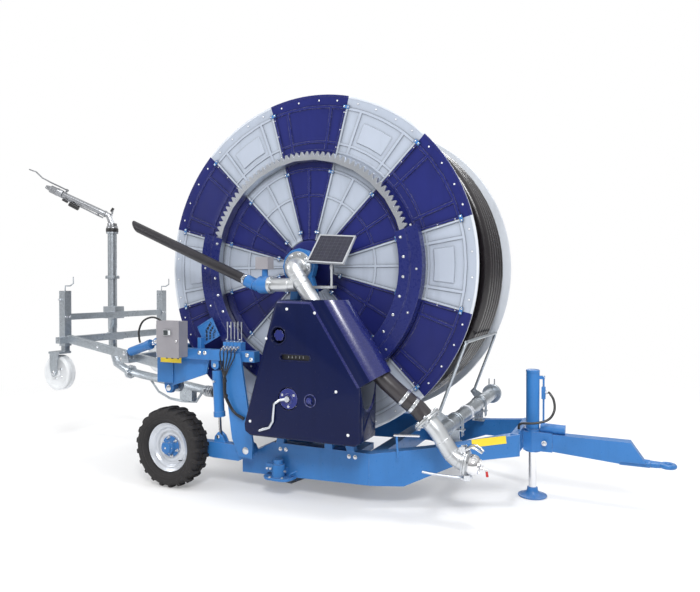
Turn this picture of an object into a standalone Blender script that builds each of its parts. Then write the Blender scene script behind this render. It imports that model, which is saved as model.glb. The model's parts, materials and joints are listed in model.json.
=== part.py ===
# Hose reel irrigator: a towed reel with a hydraulic wheel lift and a gun cart.
# Units are metres. X runs along the machine towards the drawbar, -Y is the side
# with the hood, Z is up. The origin is on the ground under the drum axle.

import bpy
import bmesh
import math
import numpy as np
from mathutils import Matrix, Vector

# Clearances
GAP = 0.0003
RUN = 0.0006

# Drum
DRUM_Z = 2.107
FLANGE_R = 1.60
FLANGE_IN = 0.720
FLANGE_SHEET = 0.012
RIB_H = 0.014
RIM_BAND = 0.112
RING_RIB_R = FLANGE_R - RIM_BAND
LIP_WIDE = 0.020
SECTORS = 12
FLANGE_STEPS = 36
HOSE_R = 0.055
HOSE_PITCH = 0.1106
LAYER_STEP = 0.1123
OUTER_LAYER_R = 1.495
WOUND_SIDE_GAP = 0.0005
WOUND_POINTS = 18
WOUND_WALL = FLANGE_IN - HOSE_R - WOUND_SIDE_GAP
OUTER_ROWS = 6
NEAR_ROWS = 6
LEAD_Y = WOUND_WALL - OUTER_ROWS * HOSE_PITCH
AXLE_R = 0.090
HUB_R = 0.250

# Ring gear and its pinion
RING_TEETH = 120
RING_PITCH_R = 1.044
GEAR_MODULE = 2 * RING_PITCH_R / RING_TEETH
PINION_TEETH = 12
GEAR_Y = 0.820
GEAR_FACE = 0.030
RING_IN = 0.985
RING_HOOP = 0.014
TOOTH_BACKLASH = 0.0012
PINION_SHAFT_R = 0.022

# Guard over the ring gear
GUARD_IN_R = 0.940
GUARD_OUT_R = 1.150
GUARD_FACE_Y = 0.8705
GUARD_SHEET = 0.006
GUARD_FROM = 17.5
GUARD_SPAN = 215.0

# Drum stands
STAND_THICK = 0.0690
STAND_LEG = 0.075
STAND_FEET = (-0.20, 0.52)
STAND_POST_X = 0.30
STAND_FACE = GUARD_FACE_Y + GAP
REAR_FACE = 0.790

# Chassis
BEAM_Y = 0.880
BEAM_THICK = 0.100
BEAM_TOP = 0.475
BEAM_BOTTOM = 0.197
BEND_X = 0.690
YOKE_X = 1.855
YOKE_HALF = 0.330
YOKE_TOP = 0.640
YOKE_BOTTOM = 0.450
RAIL_Y = 0.985
RAIL_WIDE = 0.090
RAIL_Z = (1.220, 1.320)
TOWER_X = (-1.620, -1.420)
TOWER_Z = (0.960, 1.390)
TOWER_Y = (0.860, 0.980)

# Slotted guard on the near rail
GRILLE_X = -1.014
GRILLE_Y = -0.936
GRILLE_Z = 1.487
GRILLE_SIZE = 0.200
GRILLE_TILT = 28.0
GRILLE_THICK = 0.008

# Slewing base on the ground
SLEW_X = -0.300
SLEW_ANGLE = -12.0
SLEW_ARM_LONG = 0.610
SLEW_ARM_HALF = 0.172
SLEW_PLATE = 0.070
SLEW_RING_R = 0.400
SLEW_RING_H = 0.060

# Road wheels on their swing arms
WHEEL_X = -1.282
WHEEL_R = 0.3835
RIM_R = 0.232
TYRE_WIDE = 0.215
WHEEL_OUT_Y = 1.258
WHEEL_STEPS = 16
PIVOT_X = -0.500
PIVOT_Z = 0.400
PIVOT_PIN_R = 0.030
ARM_THICK = 0.090
LUG_X = -0.835
LUG_Z = 0.490
RAM_TOP_X = -0.875
RAM_TOP_Z = 1.170
RAM_R = 0.050
RAM_ROD_R = 0.016
STUB_R = 0.0438

# Cheeks that take a ram's eye
CHEEK_THICK = 0.014
CHEEK_OFF = 0.026
LIFT_CHEEK_OFF = 0.030
LIFT_RAM_Y = -0.925

# Drawbar, jack and hitch
JACK_X = 1.930
JACK_R = 0.060
JACK_WALL = 0.012
JACK_Z = (0.430, 1.158)
JACK_FOOT_R = 0.130
DRAW_Z = 0.520
DRAW_HIGH = 0.145
DRAW_WIDE = 0.120
DRAW_END_X = 2.780
HITCH_Z = 0.410
HITCH_X = 3.036
HITCH_R = 0.048

# Water inlet
PIPE_R = 0.070
SUPPLY_R = 0.074
PIPE_Y = 1.085
MANIFOLD_Y = 0.980
CROSS_X = 1.325
CROSS_Z = 0.725
CROSS_END_Y = 1.120
SUPPLY_ROUTE = [
    (0.500, -1.075, 1.475), (0.730, -1.065, 1.290), (0.930, -1.045, 1.105), (1.060, -1.012, 0.990)]
LEVER_Z = 0.3915
DISCHARGE_NECK = (-0.375, 1.945)
DISCHARGE_SEAT = 0.090
DISCHARGE_END = (-1.840, 2.548)

# Bail in front of the winding, on lugs of the crossover pipe
BAIL_HALF = 0.640
BAIL_R = 0.014
BAIL_LONG = 0.660
BAIL_CLEAR = 0.040
BAIL_LUG_LONG = 0.130
BAIL_LUG_ANGLE = 137.4
BAIL_LUG_THICK = 0.010

# Hose guide, set outside the winding
GUIDE_ANGLE = 218.66
GUIDE_CLEAR = 0.038
GUIDE_HALF = 0.060
GUIDE_HIGH = 0.130
GUIDE_BAR = 0.060
GUIDE_REACH = OUTER_LAYER_R + HOSE_R + GUIDE_CLEAR
GUIDE_X = GUIDE_REACH * math.cos(math.radians(GUIDE_ANGLE)) - GUIDE_HALF
GUIDE_TOP = DRUM_Z + GUIDE_REACH * math.sin(math.radians(GUIDE_ANGLE))
GUIDE_BAR_Z = (GUIDE_TOP - 0.035 - GUIDE_BAR, GUIDE_TOP - 0.035)

# Control box and valve block on the near rail
BOX_X = (-1.460, -1.190)
BOX_Z = (1.240, 1.590)
BOX_FRONT = -1.150
VALVE_X = (-0.770, -0.570)
VALVE_Z = (RAIL_Z[1] + GAP, 1.400)
STUD_TOP = 1.412
PORT_WAY = Vector((0, -0.914, -0.406)).normalized()

# Hood
HOOD_FRONT = 1.250
HOOD_BACK = 0.885
HOOD_WALL = 0.012
HOOD_BULGE = 0.040
CRANK_X = 0.072
CRANK_Z = 0.957
CRANK_HOLE_R = 0.100
CRANK_SEAT = -1.245
KNOB_X = -0.028
KNOB_Z = 1.500
KNOB_HOLE_R = 0.072

# Gun cart on the lift arm
LIFT_X = -1.500
LIFT_Z = 0.900
LIFT_PIN_R = 0.028
LIFT_RAIL_Y = 0.810
RAM_A = (-2.080, 1.225)
RAM_B = (-1.655, 1.365)
CART_X = -3.150
CART_LEG_Y = 0.790
CART_LEG = 0.090
CART_WHEEL_R = 0.200
CART_WHEEL_Z = 0.945
CART_WHEEL_WIDE = 0.110
RISER_X = -3.240
RISER_R = 0.055
RISER_TOP = 2.620
CART_PIPE_R = 0.050
COUPLING_X = -1.760
COUPLING_Z = 0.715
GUN_AZIMUTH = 35.0
GUN_RISE = 25.0
GUN_LONG = 0.860

# Routes of the free hydraulic hoses, as chosen points
JACK_HOSE = [
    (JACK_X + 0.1123, 0.000, 0.960), (JACK_X + 0.145, 0.000, 0.960), (JACK_X + 0.185, -0.020, 0.900),
    (JACK_X + 0.195, -0.055, 0.810), (JACK_X + 0.150, -0.105, 0.735), (JACK_X + 0.040, -0.140, 0.700),
    (JACK_X - 0.075, -0.150, 0.690), (JACK_X - 0.100, -0.152, 0.665), (JACK_X - 0.100, -0.152, 0.6383)]

LIFT_HOSE = [
    (-1.900, -0.925, 1.3415), (-1.912, -0.925, 1.378), (-1.915, -0.925, 1.470), (-1.850, -0.930, 1.570),
    (-1.720, -0.930, 1.610), (-1.600, -0.925, 1.560), (-1.550, -0.925, 1.440), (-1.550, -0.925, 1.4003)]

WORLD = bpy.context.scene.collection


def clear_scene():
    for obj in list(bpy.data.objects):
        bpy.data.objects.remove(obj, do_unlink=True)


def collection(name):
    made = bpy.data.collections.new(name)
    WORLD.children.link(made)
    return made


clear_scene()
PARTS = collection("hose_reel_irrigator")
CUTTERS = collection("cutters")
CUTTERS.hide_render = True
JOINTS = {}
MATERIALS = {}

COLOURS = {
    "blue_paint": ((0.045, 0.180, 0.560), 0.35, 0.0),
    "navy_paint": ((0.020, 0.028, 0.160), 0.35, 0.0),
    "galvanised": ((0.620, 0.650, 0.680), 0.40, 0.9),
    "zinc": ((0.780, 0.780, 0.760), 0.30, 0.9),
    "chrome": ((0.850, 0.850, 0.850), 0.08, 1.0),
    "hose_black": ((0.012, 0.012, 0.014), 0.40, 0.0),
    "tyre_black": ((0.016, 0.016, 0.017), 0.80, 0.0),
    "rim_silver": ((0.600, 0.620, 0.660), 0.35, 0.8),
    "box_grey": ((0.360, 0.350, 0.350), 0.50, 0.0),
    "wheel_white": ((0.780, 0.780, 0.770), 0.50, 0.0),
    "panel_dark": ((0.030, 0.028, 0.035), 0.20, 0.0),
    "gun_alloy": ((0.560, 0.570, 0.590), 0.35, 0.9),
}


def material(name):
    if name not in MATERIALS:
        rgb, rough, metal = COLOURS[name]
        made = bpy.data.materials.new(name)
        made.use_nodes = True
        shader = made.node_tree.nodes["Principled BSDF"]
        shader.inputs["Base Color"].default_value = (*rgb, 1.0)
        shader.inputs["Roughness"].default_value = rough
        shader.inputs["Metallic"].default_value = metal
        MATERIALS[name] = made
    return MATERIALS[name]


def object_from(bm, name="work"):
    mesh = bpy.data.meshes.new(name)
    bm.to_mesh(mesh)
    bm.free()
    obj = bpy.data.objects.new(name, mesh)
    obj.hide_render = True
    obj.display_type = "WIRE"
    CUTTERS.objects.link(obj)
    return obj


def baked(obj):
    """The object's evaluated mesh as a plain object in world places."""
    bpy.context.view_layer.update()
    graph = bpy.context.evaluated_depsgraph_get()
    mesh = bpy.data.meshes.new_from_object(obj.evaluated_get(graph))
    mesh.transform(obj.matrix_world)
    bm = bmesh.new()
    bm.from_mesh(mesh)
    bmesh.ops.remove_doubles(bm, verts=bm.verts, dist=0.00002)
    bmesh.ops.recalc_face_normals(bm, faces=bm.faces)
    bpy.data.meshes.remove(mesh)
    bpy.data.objects.remove(obj, do_unlink=True)
    return object_from(bm)


def box(x, y, z):
    """A block between two values on each axis."""
    bm = bmesh.new()
    bmesh.ops.create_cube(bm, size=1.0)
    size = Vector((x[1] - x[0], y[1] - y[0], z[1] - z[0]))
    middle = Vector((x[0] + x[1], y[0] + y[1], z[0] + z[1])) / 2
    bmesh.ops.scale(bm, vec=size, verts=bm.verts)
    bmesh.ops.translate(bm, vec=middle, verts=bm.verts)
    return object_from(bm)


def aim(start, end):
    """Turns local +Z to point from start to end, with its origin at start."""
    way = Vector(end) - Vector(start)
    turn = way.to_track_quat("Z", "Y").to_matrix().to_4x4()
    return Matrix.Translation(Vector(start)) @ turn


def bar(start, end, wide, high):
    """A rectangular tube between two points, high measured nearest to Z."""
    start, end = Vector(start), Vector(end)
    way = end - start
    side = way.cross(Vector((0, 0, 1))).normalized()
    upper = way.normalized().cross(side)
    turn = Matrix((side, upper, way.normalized())).transposed().to_4x4()
    obj = box((-wide / 2, wide / 2), (-high / 2, high / 2), (0, way.length))
    obj.data.transform(Matrix.Translation(start) @ turn)
    return obj


def rod(start, end, radius, sides=16, end_radius=None):
    """A round bar or a cone between two points."""
    length = (Vector(end) - Vector(start)).length
    bm = bmesh.new()
    bmesh.ops.create_cone(
        bm, cap_ends=True, segments=sides, depth=length,
        radius1=radius, radius2=radius if end_radius is None else end_radius,
        matrix=Matrix.Translation((0, 0, length / 2)))
    obj = object_from(bm)
    obj.data.transform(aim(start, end))
    return obj


def bore_radius(shaft_radius, sides):
    """A faceted bore's radius whose flats clear the shaft at every angle."""
    return (shaft_radius + RUN) / math.cos(math.pi / sides)


def turned(profile, steps, start=(0, 0, 0), end=(0, 0, 1)):
    """Revolves (radius, height) pairs about the line from start to end."""
    area = sum(a[0] * b[1] - b[0] * a[1] for a, b in zip(profile, profile[1:] + profile[:1]))
    rows = list(profile) if area < 0 else list(reversed(profile))
    mesh = bpy.data.meshes.new("profile")
    edges = [(i, (i + 1) % len(rows)) for i in range(len(rows))]
    on_axis = [i for i, row in enumerate(rows) if row[0] == 0]
    if on_axis:
        edges = [edge for edge in edges if not set(edge) <= set(on_axis)]
    mesh.from_pydata([(r, 0, h) for r, h in rows], edges, [])
    obj = bpy.data.objects.new("turned", mesh)
    CUTTERS.objects.link(obj)
    screw = obj.modifiers.new("revolve", "SCREW")
    screw.axis = "Z"
    screw.steps = steps
    screw.render_steps = steps
    screw.use_merge_vertices = True
    screw.merge_threshold = 0.0001
    obj.matrix_world = aim(start, end)
    return baked(obj)


def drum_turned(profile, steps):
    """Revolves (radius, y) pairs about the drum axle."""
    return turned(profile, steps, (0, 0, DRUM_Z), (0, 1, DRUM_Z))


def smooth_path(points, count):
    """Even points on a Catmull-Rom curve through the given ones."""
    ctrl = [Vector(p) for p in points]
    ctrl = [2 * ctrl[0] - ctrl[1]] + ctrl + [2 * ctrl[-1] - ctrl[-2]]
    fine = []
    for i in range(1, len(ctrl) - 2):
        p0, p1, p2, p3 = ctrl[i - 1:i + 3]
        for k in range(24):
            t = k / 24
            fine.append(0.5 * ((2 * p1) + (p2 - p0) * t + (2 * p0 - 5 * p1 + 4 * p2 - p3) * t * t
                               + (3 * p1 - p0 - 3 * p2 + p3) * t ** 3))
    fine.append(ctrl[-2])
    runs = np.cumsum([0.0] + [(b - a).length for a, b in zip(fine, fine[1:])])
    wanted = np.linspace(0, runs[-1], count)
    axes = [np.interp(wanted, runs, [p[k] for p in fine]) for k in range(3)]
    return [Vector(p) for p in zip(*axes)]


def seated_path(points, count):
    """An even curve whose first and last stretches are exactly straight."""
    inner = smooth_path(points[1:-1], count - 2)
    return [Vector(points[0])] + inner + [Vector(points[-1])]


def tube(points, radius, resolution=2):
    """A round tube with flat closed ends along the points."""
    curve = bpy.data.curves.new("tube", "CURVE")
    curve.dimensions = "3D"
    curve.bevel_depth = radius
    curve.bevel_resolution = resolution
    curve.use_fill_caps = True
    spline = curve.splines.new("POLY")
    spline.points.add(len(points) - 1)
    for point, place in zip(spline.points, points):
        point.co = (*place, 1.0)
    obj = bpy.data.objects.new("tube", curve)
    CUTTERS.objects.link(obj)
    return baked(obj)


def plate(outlines, thick, place=Matrix()):
    """Fills flat outlines and extrudes them from 0 to thick along local Z."""
    curve = bpy.data.curves.new("plate", "CURVE")
    curve.dimensions = "2D"
    curve.fill_mode = "BOTH"
    curve.extrude = thick / 2
    for outline in outlines:
        spline = curve.splines.new("POLY")
        spline.use_cyclic_u = True
        spline.points.add(len(outline) - 1)
        for point, (a, b) in zip(spline.points, outline):
            point.co = (a, b, 0.0, 1.0)
    obj = bpy.data.objects.new("plate", curve)
    CUTTERS.objects.link(obj)
    obj.matrix_world = place @ Matrix.Translation((0, 0, thick / 2))
    return baked(obj)


def side_plate(outline, y0, y1):
    """A plate whose outline is in X and Z, between two values of Y."""
    low, high = min(y0, y1), max(y0, y1)
    upright = Matrix(((1, 0, 0, 0), (0, 0, 1, low), (0, 1, 0, 0), (0, 0, 0, 1)))
    return plate([outline], high - low, upright)


def arc(centre, radius, start, end, count):
    """Points on an arc, angles in degrees."""
    angles = np.radians(np.linspace(start, end, count))
    return [(centre[0] + radius * math.cos(a), centre[1] + radius * math.sin(a)) for a in angles]


def mesh_volume(obj):
    """Signed volume, or None where the mesh isn't closed."""
    bm = bmesh.new()
    bm.from_mesh(obj.data)
    closed = all(len(edge.link_faces) == 2 for edge in bm.edges)
    volume = bm.calc_volume(signed=True) if closed else None
    bm.free()
    return volume


def copied(obj):
    """A second object with its own copy of the mesh."""
    twin = bpy.data.objects.new("work", obj.data.copy())
    twin.hide_render = True
    CUTTERS.objects.link(twin)
    return twin


def combined(target, others, operation="UNION"):
    """Joins or cuts closed meshes, one Boolean for each; a result whose volume
    can't be right is made again with the other solver."""
    for other in others:
        first, second = mesh_volume(target), mesh_volume(other)
        if operation == "UNION":
            low, high = max(first, second) - 1e-7, first + second + 1e-7
        else:
            low, high = first - second - 1e-7, first + 1e-7
        made = None
        for solver in ("EXACT", "MANIFOLD"):
            trial = copied(target)
            change = trial.modifiers.new("boolean", "BOOLEAN")
            change.operation = operation
            change.solver = solver
            change.object = other
            made = baked(trial)
            volume = mesh_volume(made)
            if volume is not None and low <= volume <= high:
                break
            bpy.data.objects.remove(made, do_unlink=True)
            made = None
        if made is None:
            raise RuntimeError("neither solver could combine the shapes: " + operation)
        bpy.data.objects.remove(target, do_unlink=True)
        bpy.data.objects.remove(other, do_unlink=True)
        target = made
    return target


def union(*shapes):
    return combined(shapes[0], shapes[1:])


def cut(target, *cutters):
    return combined(target, cutters, "DIFFERENCE")


def dissolved(obj, angle=0.5):
    """Merges flat neighbours, so that flat faces carry no spare edges."""
    bm = bmesh.new()
    bm.from_mesh(obj.data)
    bmesh.ops.dissolve_limit(bm, angle_limit=math.radians(angle), verts=bm.verts, edges=bm.edges)
    bmesh.ops.triangulate(bm, faces=bm.faces)
    bmesh.ops.recalc_face_normals(bm, faces=bm.faces)
    merged = object_from(bm)
    before, after = mesh_volume(obj), mesh_volume(merged)
    good = after is not None and abs(after - before) < 1e-6
    spare = obj if good else merged
    kept = merged if good else obj
    bpy.data.objects.remove(spare, do_unlink=True)
    return kept


def joint(name, place, parent=None):
    """An empty on a joint axis, which carries the pieces of one body."""
    empty = bpy.data.objects.new(name, None)
    empty.empty_display_size = 0.1
    PARTS.objects.link(empty)
    JOINTS[name] = (empty, Vector(place))
    empty.location = Vector(place)
    if parent:
        above, origin = JOINTS[parent]
        empty.parent = above
        empty.location = Vector(place) - origin
    return empty


def part(obj, name, finish, body=None):
    """Names a finished piece and hangs it on its body's joint."""
    obj.name = name
    obj.data.name = name
    CUTTERS.objects.unlink(obj)
    PARTS.objects.link(obj)
    obj.hide_render = False
    obj.display_type = "TEXTURED"
    obj.data.materials.clear()
    obj.data.materials.append(material(finish))
    if body:
        above, origin = JOINTS[body]
        obj.data.transform(Matrix.Translation(-origin))
        obj.parent = above
    obj.data.shade_smooth()
    obj.data.set_sharp_from_angle(angle=math.radians(32))
    return obj


def mirrored(obj):
    """A copy of the mesh on the other side of the machine."""
    bm = bmesh.new()
    bm.from_mesh(obj.data)
    bmesh.ops.scale(bm, vec=(1, -1, 1), verts=bm.verts)
    bmesh.ops.reverse_faces(bm, faces=bm.faces)
    return object_from(bm)


# Drum

def flange_panels(pressed):
    """One flange at its +Y place: turned disc with raised seams and, where it
    is pressed, the rim's ring rib, the hub's rise and a rib in each panel."""
    sheet = FLANGE_IN + FLANGE_SHEET
    raised = sheet + RIB_H
    bore = AXLE_R + 0.004
    profile = [(bore, FLANGE_IN), (FLANGE_R, FLANGE_IN), (FLANGE_R, raised), (FLANGE_R - LIP_WIDE, sheet)]
    if pressed:
        profile += [(RING_RIB_R + 0.017, sheet), (RING_RIB_R, raised - 0.006), (RING_RIB_R - 0.017, sheet),
                    (HUB_R, sheet), (HUB_R, raised), (bore, raised)]
        seam_end = RING_RIB_R - 0.026
    else:
        profile += [(bore, sheet)]
        seam_end = FLANGE_R - LIP_WIDE - 0.008
    disc = drum_turned(profile, FLANGE_STEPS)
    sector = 360.0 / SECTORS
    bars = []
    for i in range(SECTORS):
        seam = sector * (i + 0.5)
        bars.append((seam, HUB_R + 0.004, seam_end, 0.030, RIB_H))
        if pressed:
            middle = seam + 0.5 * sector
            bars.append((middle, RING_PITCH_R + 0.036, RING_RIB_R - 0.068, 0.022, RIB_H - 0.004))
    bm = bmesh.new()
    for angle, inner, outer, wide, high in bars:
        made = bmesh.ops.create_cube(bm, size=1.0)["verts"]
        tall = high + 0.004
        bmesh.ops.scale(bm, vec=(outer - inner, tall, wide), verts=made)
        bmesh.ops.translate(bm, vec=((inner + outer) / 2, sheet - 0.004 + tall / 2, 0), verts=made)
        turn = Matrix.Rotation(-math.radians(angle), 3, "Y")
        bmesh.ops.rotate(bm, cent=(0, 0, 0), matrix=turn, verts=made)
    bmesh.ops.translate(bm, vec=(0, 0, DRUM_Z), verts=bm.verts)
    return dissolved(combined(disc, [object_from(bm)]))


def gear_outline(teeth, module, phase, thin):
    """Teeth as trapezoids: root, tip, tip, root for each tooth."""
    pitch_r = teeth * module / 2
    root_r = pitch_r - 1.2 * module
    tip_r = pitch_r + module
    step = 2 * math.pi / teeth
    root_half = 0.33 * step - thin / root_r
    tip_half = 0.05 * step - thin / tip_r
    points = []
    for i in range(teeth):
        middle = phase + i * step
        corners = ((root_r, -root_half), (tip_r, -tip_half), (tip_r, tip_half), (root_r, root_half))
        for radius, off in corners:
            points.append((radius * math.cos(middle + off), radius * math.sin(middle + off)))
    return points


def gear_blank(outlines, centre_x, centre_z):
    """Outlines about the gear's centre, extruded over the face width."""
    upright = Matrix(((1, 0, 0, centre_x), (0, 0, 1, -GEAR_Y - GEAR_FACE / 2),
                      (0, 1, 0, centre_z), (0, 0, 0, 1)))
    return plate(outlines, GEAR_FACE, upright)


def ring_outline():
    """Ring teeth: two points on each tip and one at the foot of each space."""
    pitch_r = RING_TEETH * GEAR_MODULE / 2
    step = 2 * math.pi / RING_TEETH
    start = -math.pi / 2 + step
    points = []
    for i in range(RING_TEETH):
        middle = start + i * step - step / 2
        for radius, off in ((pitch_r + GEAR_MODULE, -0.11), (pitch_r + GEAR_MODULE, 0.11),
                            (pitch_r - 1.5 * GEAR_MODULE, 0.5)):
            angle = middle + off * step
            points.append((radius * math.cos(angle), radius * math.sin(angle)))
    return points


def ring_gear():
    """The toothed ring, with the hoop behind it that stands on the flange."""
    front = -GEAR_Y - GEAR_FACE / 2
    back = -GEAR_Y + GEAR_FACE / 2
    seat = -(FLANGE_IN + FLANGE_SHEET + RIB_H) - GAP
    circle = arc((0, 0), 1.0, 0, 348, 30)
    bm = bmesh.new()

    def loop(outline, scale, y):
        verts = [bm.verts.new((a * scale, y, DRUM_Z + b * scale)) for a, b in outline]
        edges = [bm.edges.new((verts[i], verts[(i + 1) % len(verts)])) for i in range(len(verts))]
        return verts, edges

    def wall(one, two):
        for i in range(len(one)):
            k = (i + 1) % len(one)
            bm.faces.new((one[i], one[k], two[k], two[i]))

    teeth_front, teeth_front_edges = loop(ring_outline(), 1.0, front)
    teeth_back, teeth_back_edges = loop(ring_outline(), 1.0, back)
    bore_front, bore_front_edges = loop(circle, RING_IN, front)
    hoop_front, hoop_front_edges = loop(circle, RING_IN + RING_HOOP, back)
    hoop_seat = loop(circle, RING_IN + RING_HOOP, seat)[0]
    bore_seat = loop(circle, RING_IN, seat)[0]
    wall(teeth_front, teeth_back)
    wall(hoop_front, hoop_seat)
    wall(hoop_seat, bore_seat)
    wall(bore_seat, bore_front)
    for edges in (teeth_front_edges + bore_front_edges, teeth_back_edges + hoop_front_edges):
        bmesh.ops.triangle_fill(bm, use_beauty=True, use_dissolve=False, edges=edges, normal=(0, 1, 0))
    bmesh.ops.recalc_face_normals(bm, faces=bm.faces)
    return object_from(bm)


def pinion_place():
    """The pinion meshes under the drum axle."""
    return DRUM_Z - (RING_TEETH + PINION_TEETH) * GEAR_MODULE / 2


def drive_pinion():
    """Teeth on the gearbox shaft, one tooth up in the ring's space."""
    z = pinion_place()
    teeth = gear_blank([gear_outline(PINION_TEETH, GEAR_MODULE, math.pi / 2, TOOTH_BACKLASH)], 0.0, z)
    shaft = rod((0, -GEAR_Y, z), (0, -STAND_FACE - STAND_THICK - 0.055, z), PINION_SHAFT_R, 10)
    return union(teeth, shaft)


def wound_points():
    """Centre line of the wound hose: the near half of the lower layer, a long
    hidden lay under the outer rows, a climb at the far flange, and the outer
    rows back to the place where the lead leaves the drum."""
    outer_r = OUTER_LAYER_R
    inner_r = OUTER_LAYER_R - LAYER_STEP
    wall = WOUND_WALL
    (touch_x, touch_z), lead_angle = lead_tangent()
    total = NEAR_ROWS + 1.5 + OUTER_ROWS
    near_end = -wall + HOSE_PITCH * NEAR_ROWS
    points = []
    for i in range(round(total * WOUND_POINTS) + 1):
        turns = i / WOUND_POINTS
        angle = lead_angle + 2 * math.pi * (total - turns)
        gone = turns - NEAR_ROWS
        if gone <= 0:
            radius = inner_r
            y = -wall + HOSE_PITCH * stepped(turns)
        elif gone <= 1.0:
            radius = inner_r
            y = near_end + (wall - near_end) * gone
        elif gone <= 1.5:
            radius = inner_r + LAYER_STEP * eased((gone - 1.0) * 2)
            y = wall
        else:
            radius = outer_r
            y = wall - HOSE_PITCH * stepped(gone - 1.5)
        points.append(Vector((radius * math.cos(angle), y, DRUM_Z + radius * math.sin(angle))))
    way = Vector((math.sin(lead_angle), 0, -math.cos(lead_angle)))
    points.append(points[-1] + way * 2 * HOSE_R)
    return points


def stepped(turns):
    """Rows step aside in the first half of a turn and lie straight in the other."""
    whole = math.floor(turns)
    return whole + min(1.0, (turns - whole) * 2)


def eased(share):
    """A smooth rise from 0 to 1."""
    return 3 * share ** 2 - 2 * share ** 3


def least_self_gap(points, radius):
    """Smallest distance between stretches more than half a loop apart."""
    line = np.array([p[:] for p in points])
    least = 9.0
    for i in range(len(line)):
        rest = line[i + 10:]
        if len(rest) > 1:
            a, b = rest[:-1], rest[1:]
            way = b - a
            share = np.clip(np.sum((line[i] - a) * way, axis=1) / np.sum(way * way, axis=1), 0, 1)
            near = a + way * share[:, None]
            least = min(least, float(np.min(np.linalg.norm(near - line[i], axis=1))))
    return least - 2 * radius


def lead_tangent():
    """Where the straight lead from the cart coupling touches the outer layer."""
    dx, dz = lead_start()[0], lead_start()[1] - DRUM_Z
    away = math.hypot(dx, dz)
    angle = math.atan2(dz, dx) + math.acos(OUTER_LAYER_R / away)
    return (OUTER_LAYER_R * math.cos(angle), DRUM_Z + OUTER_LAYER_R * math.sin(angle)), angle


def lead_start():
    """The end of the cart's coupling, in X and Z."""
    return COUPLING_X + 0.100, COUPLING_Z - 0.012


def lead_way():
    """Direction of the straight lead, from the cart towards the drum."""
    start = lead_start()
    touch = lead_tangent()[0]
    return Vector((touch[0] - start[0], 0, touch[1] - start[1])).normalized()


def drum_core():
    """Axle through the plain core that stands for the hidden hose layers."""
    chord = math.cos(math.pi / WOUND_POINTS)
    core_r = (OUTER_LAYER_R - LAYER_STEP) * chord - HOSE_R - RUN
    half = FLANGE_IN - GAP
    front = -STAND_FACE - STAND_THICK + 0.001
    back = REAR_FACE + STAND_THICK - 0.001
    return drum_turned([
        (0, front), (AXLE_R, front), (AXLE_R, -half), (core_r, -half),
        (core_r, half), (AXLE_R, half), (AXLE_R, back), (0, back)], 24)


# Guard, stands and hood

def ring_guard():
    """C-shaped channel round the lower part of the ring gear, fixed."""
    face = -GUARD_FACE_Y
    sheet = GUARD_SHEET
    steps = 20
    profile = [
        (GUARD_IN_R, face), (GUARD_OUT_R, face), (GUARD_OUT_R, face + 0.100),
        (GUARD_OUT_R - sheet, face + 0.100), (GUARD_OUT_R - sheet, face + sheet),
        (GUARD_IN_R, face + sheet)]
    bm = bmesh.new()
    verts = [bm.verts.new((r, y, 0)) for r, y in profile]
    face_0 = bm.faces.new(verts)
    turn = -math.radians(GUARD_FROM)
    bmesh.ops.rotate(bm, cent=(0, 0, 0), matrix=Matrix.Rotation(turn, 3, "Y"), verts=verts)
    out = bmesh.ops.spin(bm, geom=[face_0], cent=(0, 0, 0), axis=(0, 1, 0),
                         angle=math.radians(GUARD_SPAN), steps=steps, use_duplicate=False)
    last = [item for item in out["geom_last"] if isinstance(item, bmesh.types.BMFace)]
    if not last:
        edge = [item for item in out["geom_last"] if isinstance(item, bmesh.types.BMEdge)]
        bmesh.ops.edgeloop_fill(bm, edges=edge)
    bmesh.ops.recalc_face_normals(bm, faces=bm.faces)
    bmesh.ops.translate(bm, vec=(0, 0, DRUM_Z), verts=bm.verts)
    guard = object_from(bm)
    z = pinion_place()
    window = box((-0.125, 0.125), (face - 0.02, face + 0.12), (z - 0.14, z + 0.055))
    return cut(guard, window)


def drum_stand(face, gearbox_plate):
    """A-frame with the axle bearing on top, at its +Y place."""
    y0, y1 = face, face + STAND_THICK
    foot = BEAM_TOP + GAP
    shapes = []
    for foot_x in STAND_FEET:
        half = STAND_LEG / 2
        lean = 0.5 if foot_x < 0 else 0.35
        top_x = foot_x * (1 - lean) * 0.2
        outline = [(foot_x - half, foot), (foot_x + half, foot),
                   (top_x + half, DRUM_Z), (top_x - half, DRUM_Z)]
        shapes.append(side_plate(outline, y0, y1))
    bearing = side_plate(arc((0, DRUM_Z), 0.165, 0, 330, 12), y0, y1)
    tie = side_plate([(-0.14, 1.30), (0.30, 1.30), (0.28, 1.38), (-0.13, 1.38)], y0 + 0.008, y1 - 0.008)
    shapes += [bearing, tie]
    if gearbox_plate:
        half = STAND_LEG / 2
        post_x = (STAND_POST_X - half, STAND_POST_X + half)
        shapes.append(box(post_x, (y0 + 0.002, y1 - 0.002), (foot, 1.35)))
        shapes.append(box((-0.17, 0.34), (y1 - 0.030, y1 - 0.004), (0.82, 1.12)))
    stand = union(*shapes)
    bore = rod((0, y0 - 0.02, DRUM_Z), (0, y1 + 0.02, DRUM_Z), bore_radius(AXLE_R, 36), 36)
    stand = cut(stand, bore)
    if gearbox_plate:
        z = pinion_place()
        stand = cut(stand, rod((0, y0 - 0.02, z), (0, y1 + 0.02, z), PINION_SHAFT_R + 0.010, 12))
    return dissolved(stand)


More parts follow.
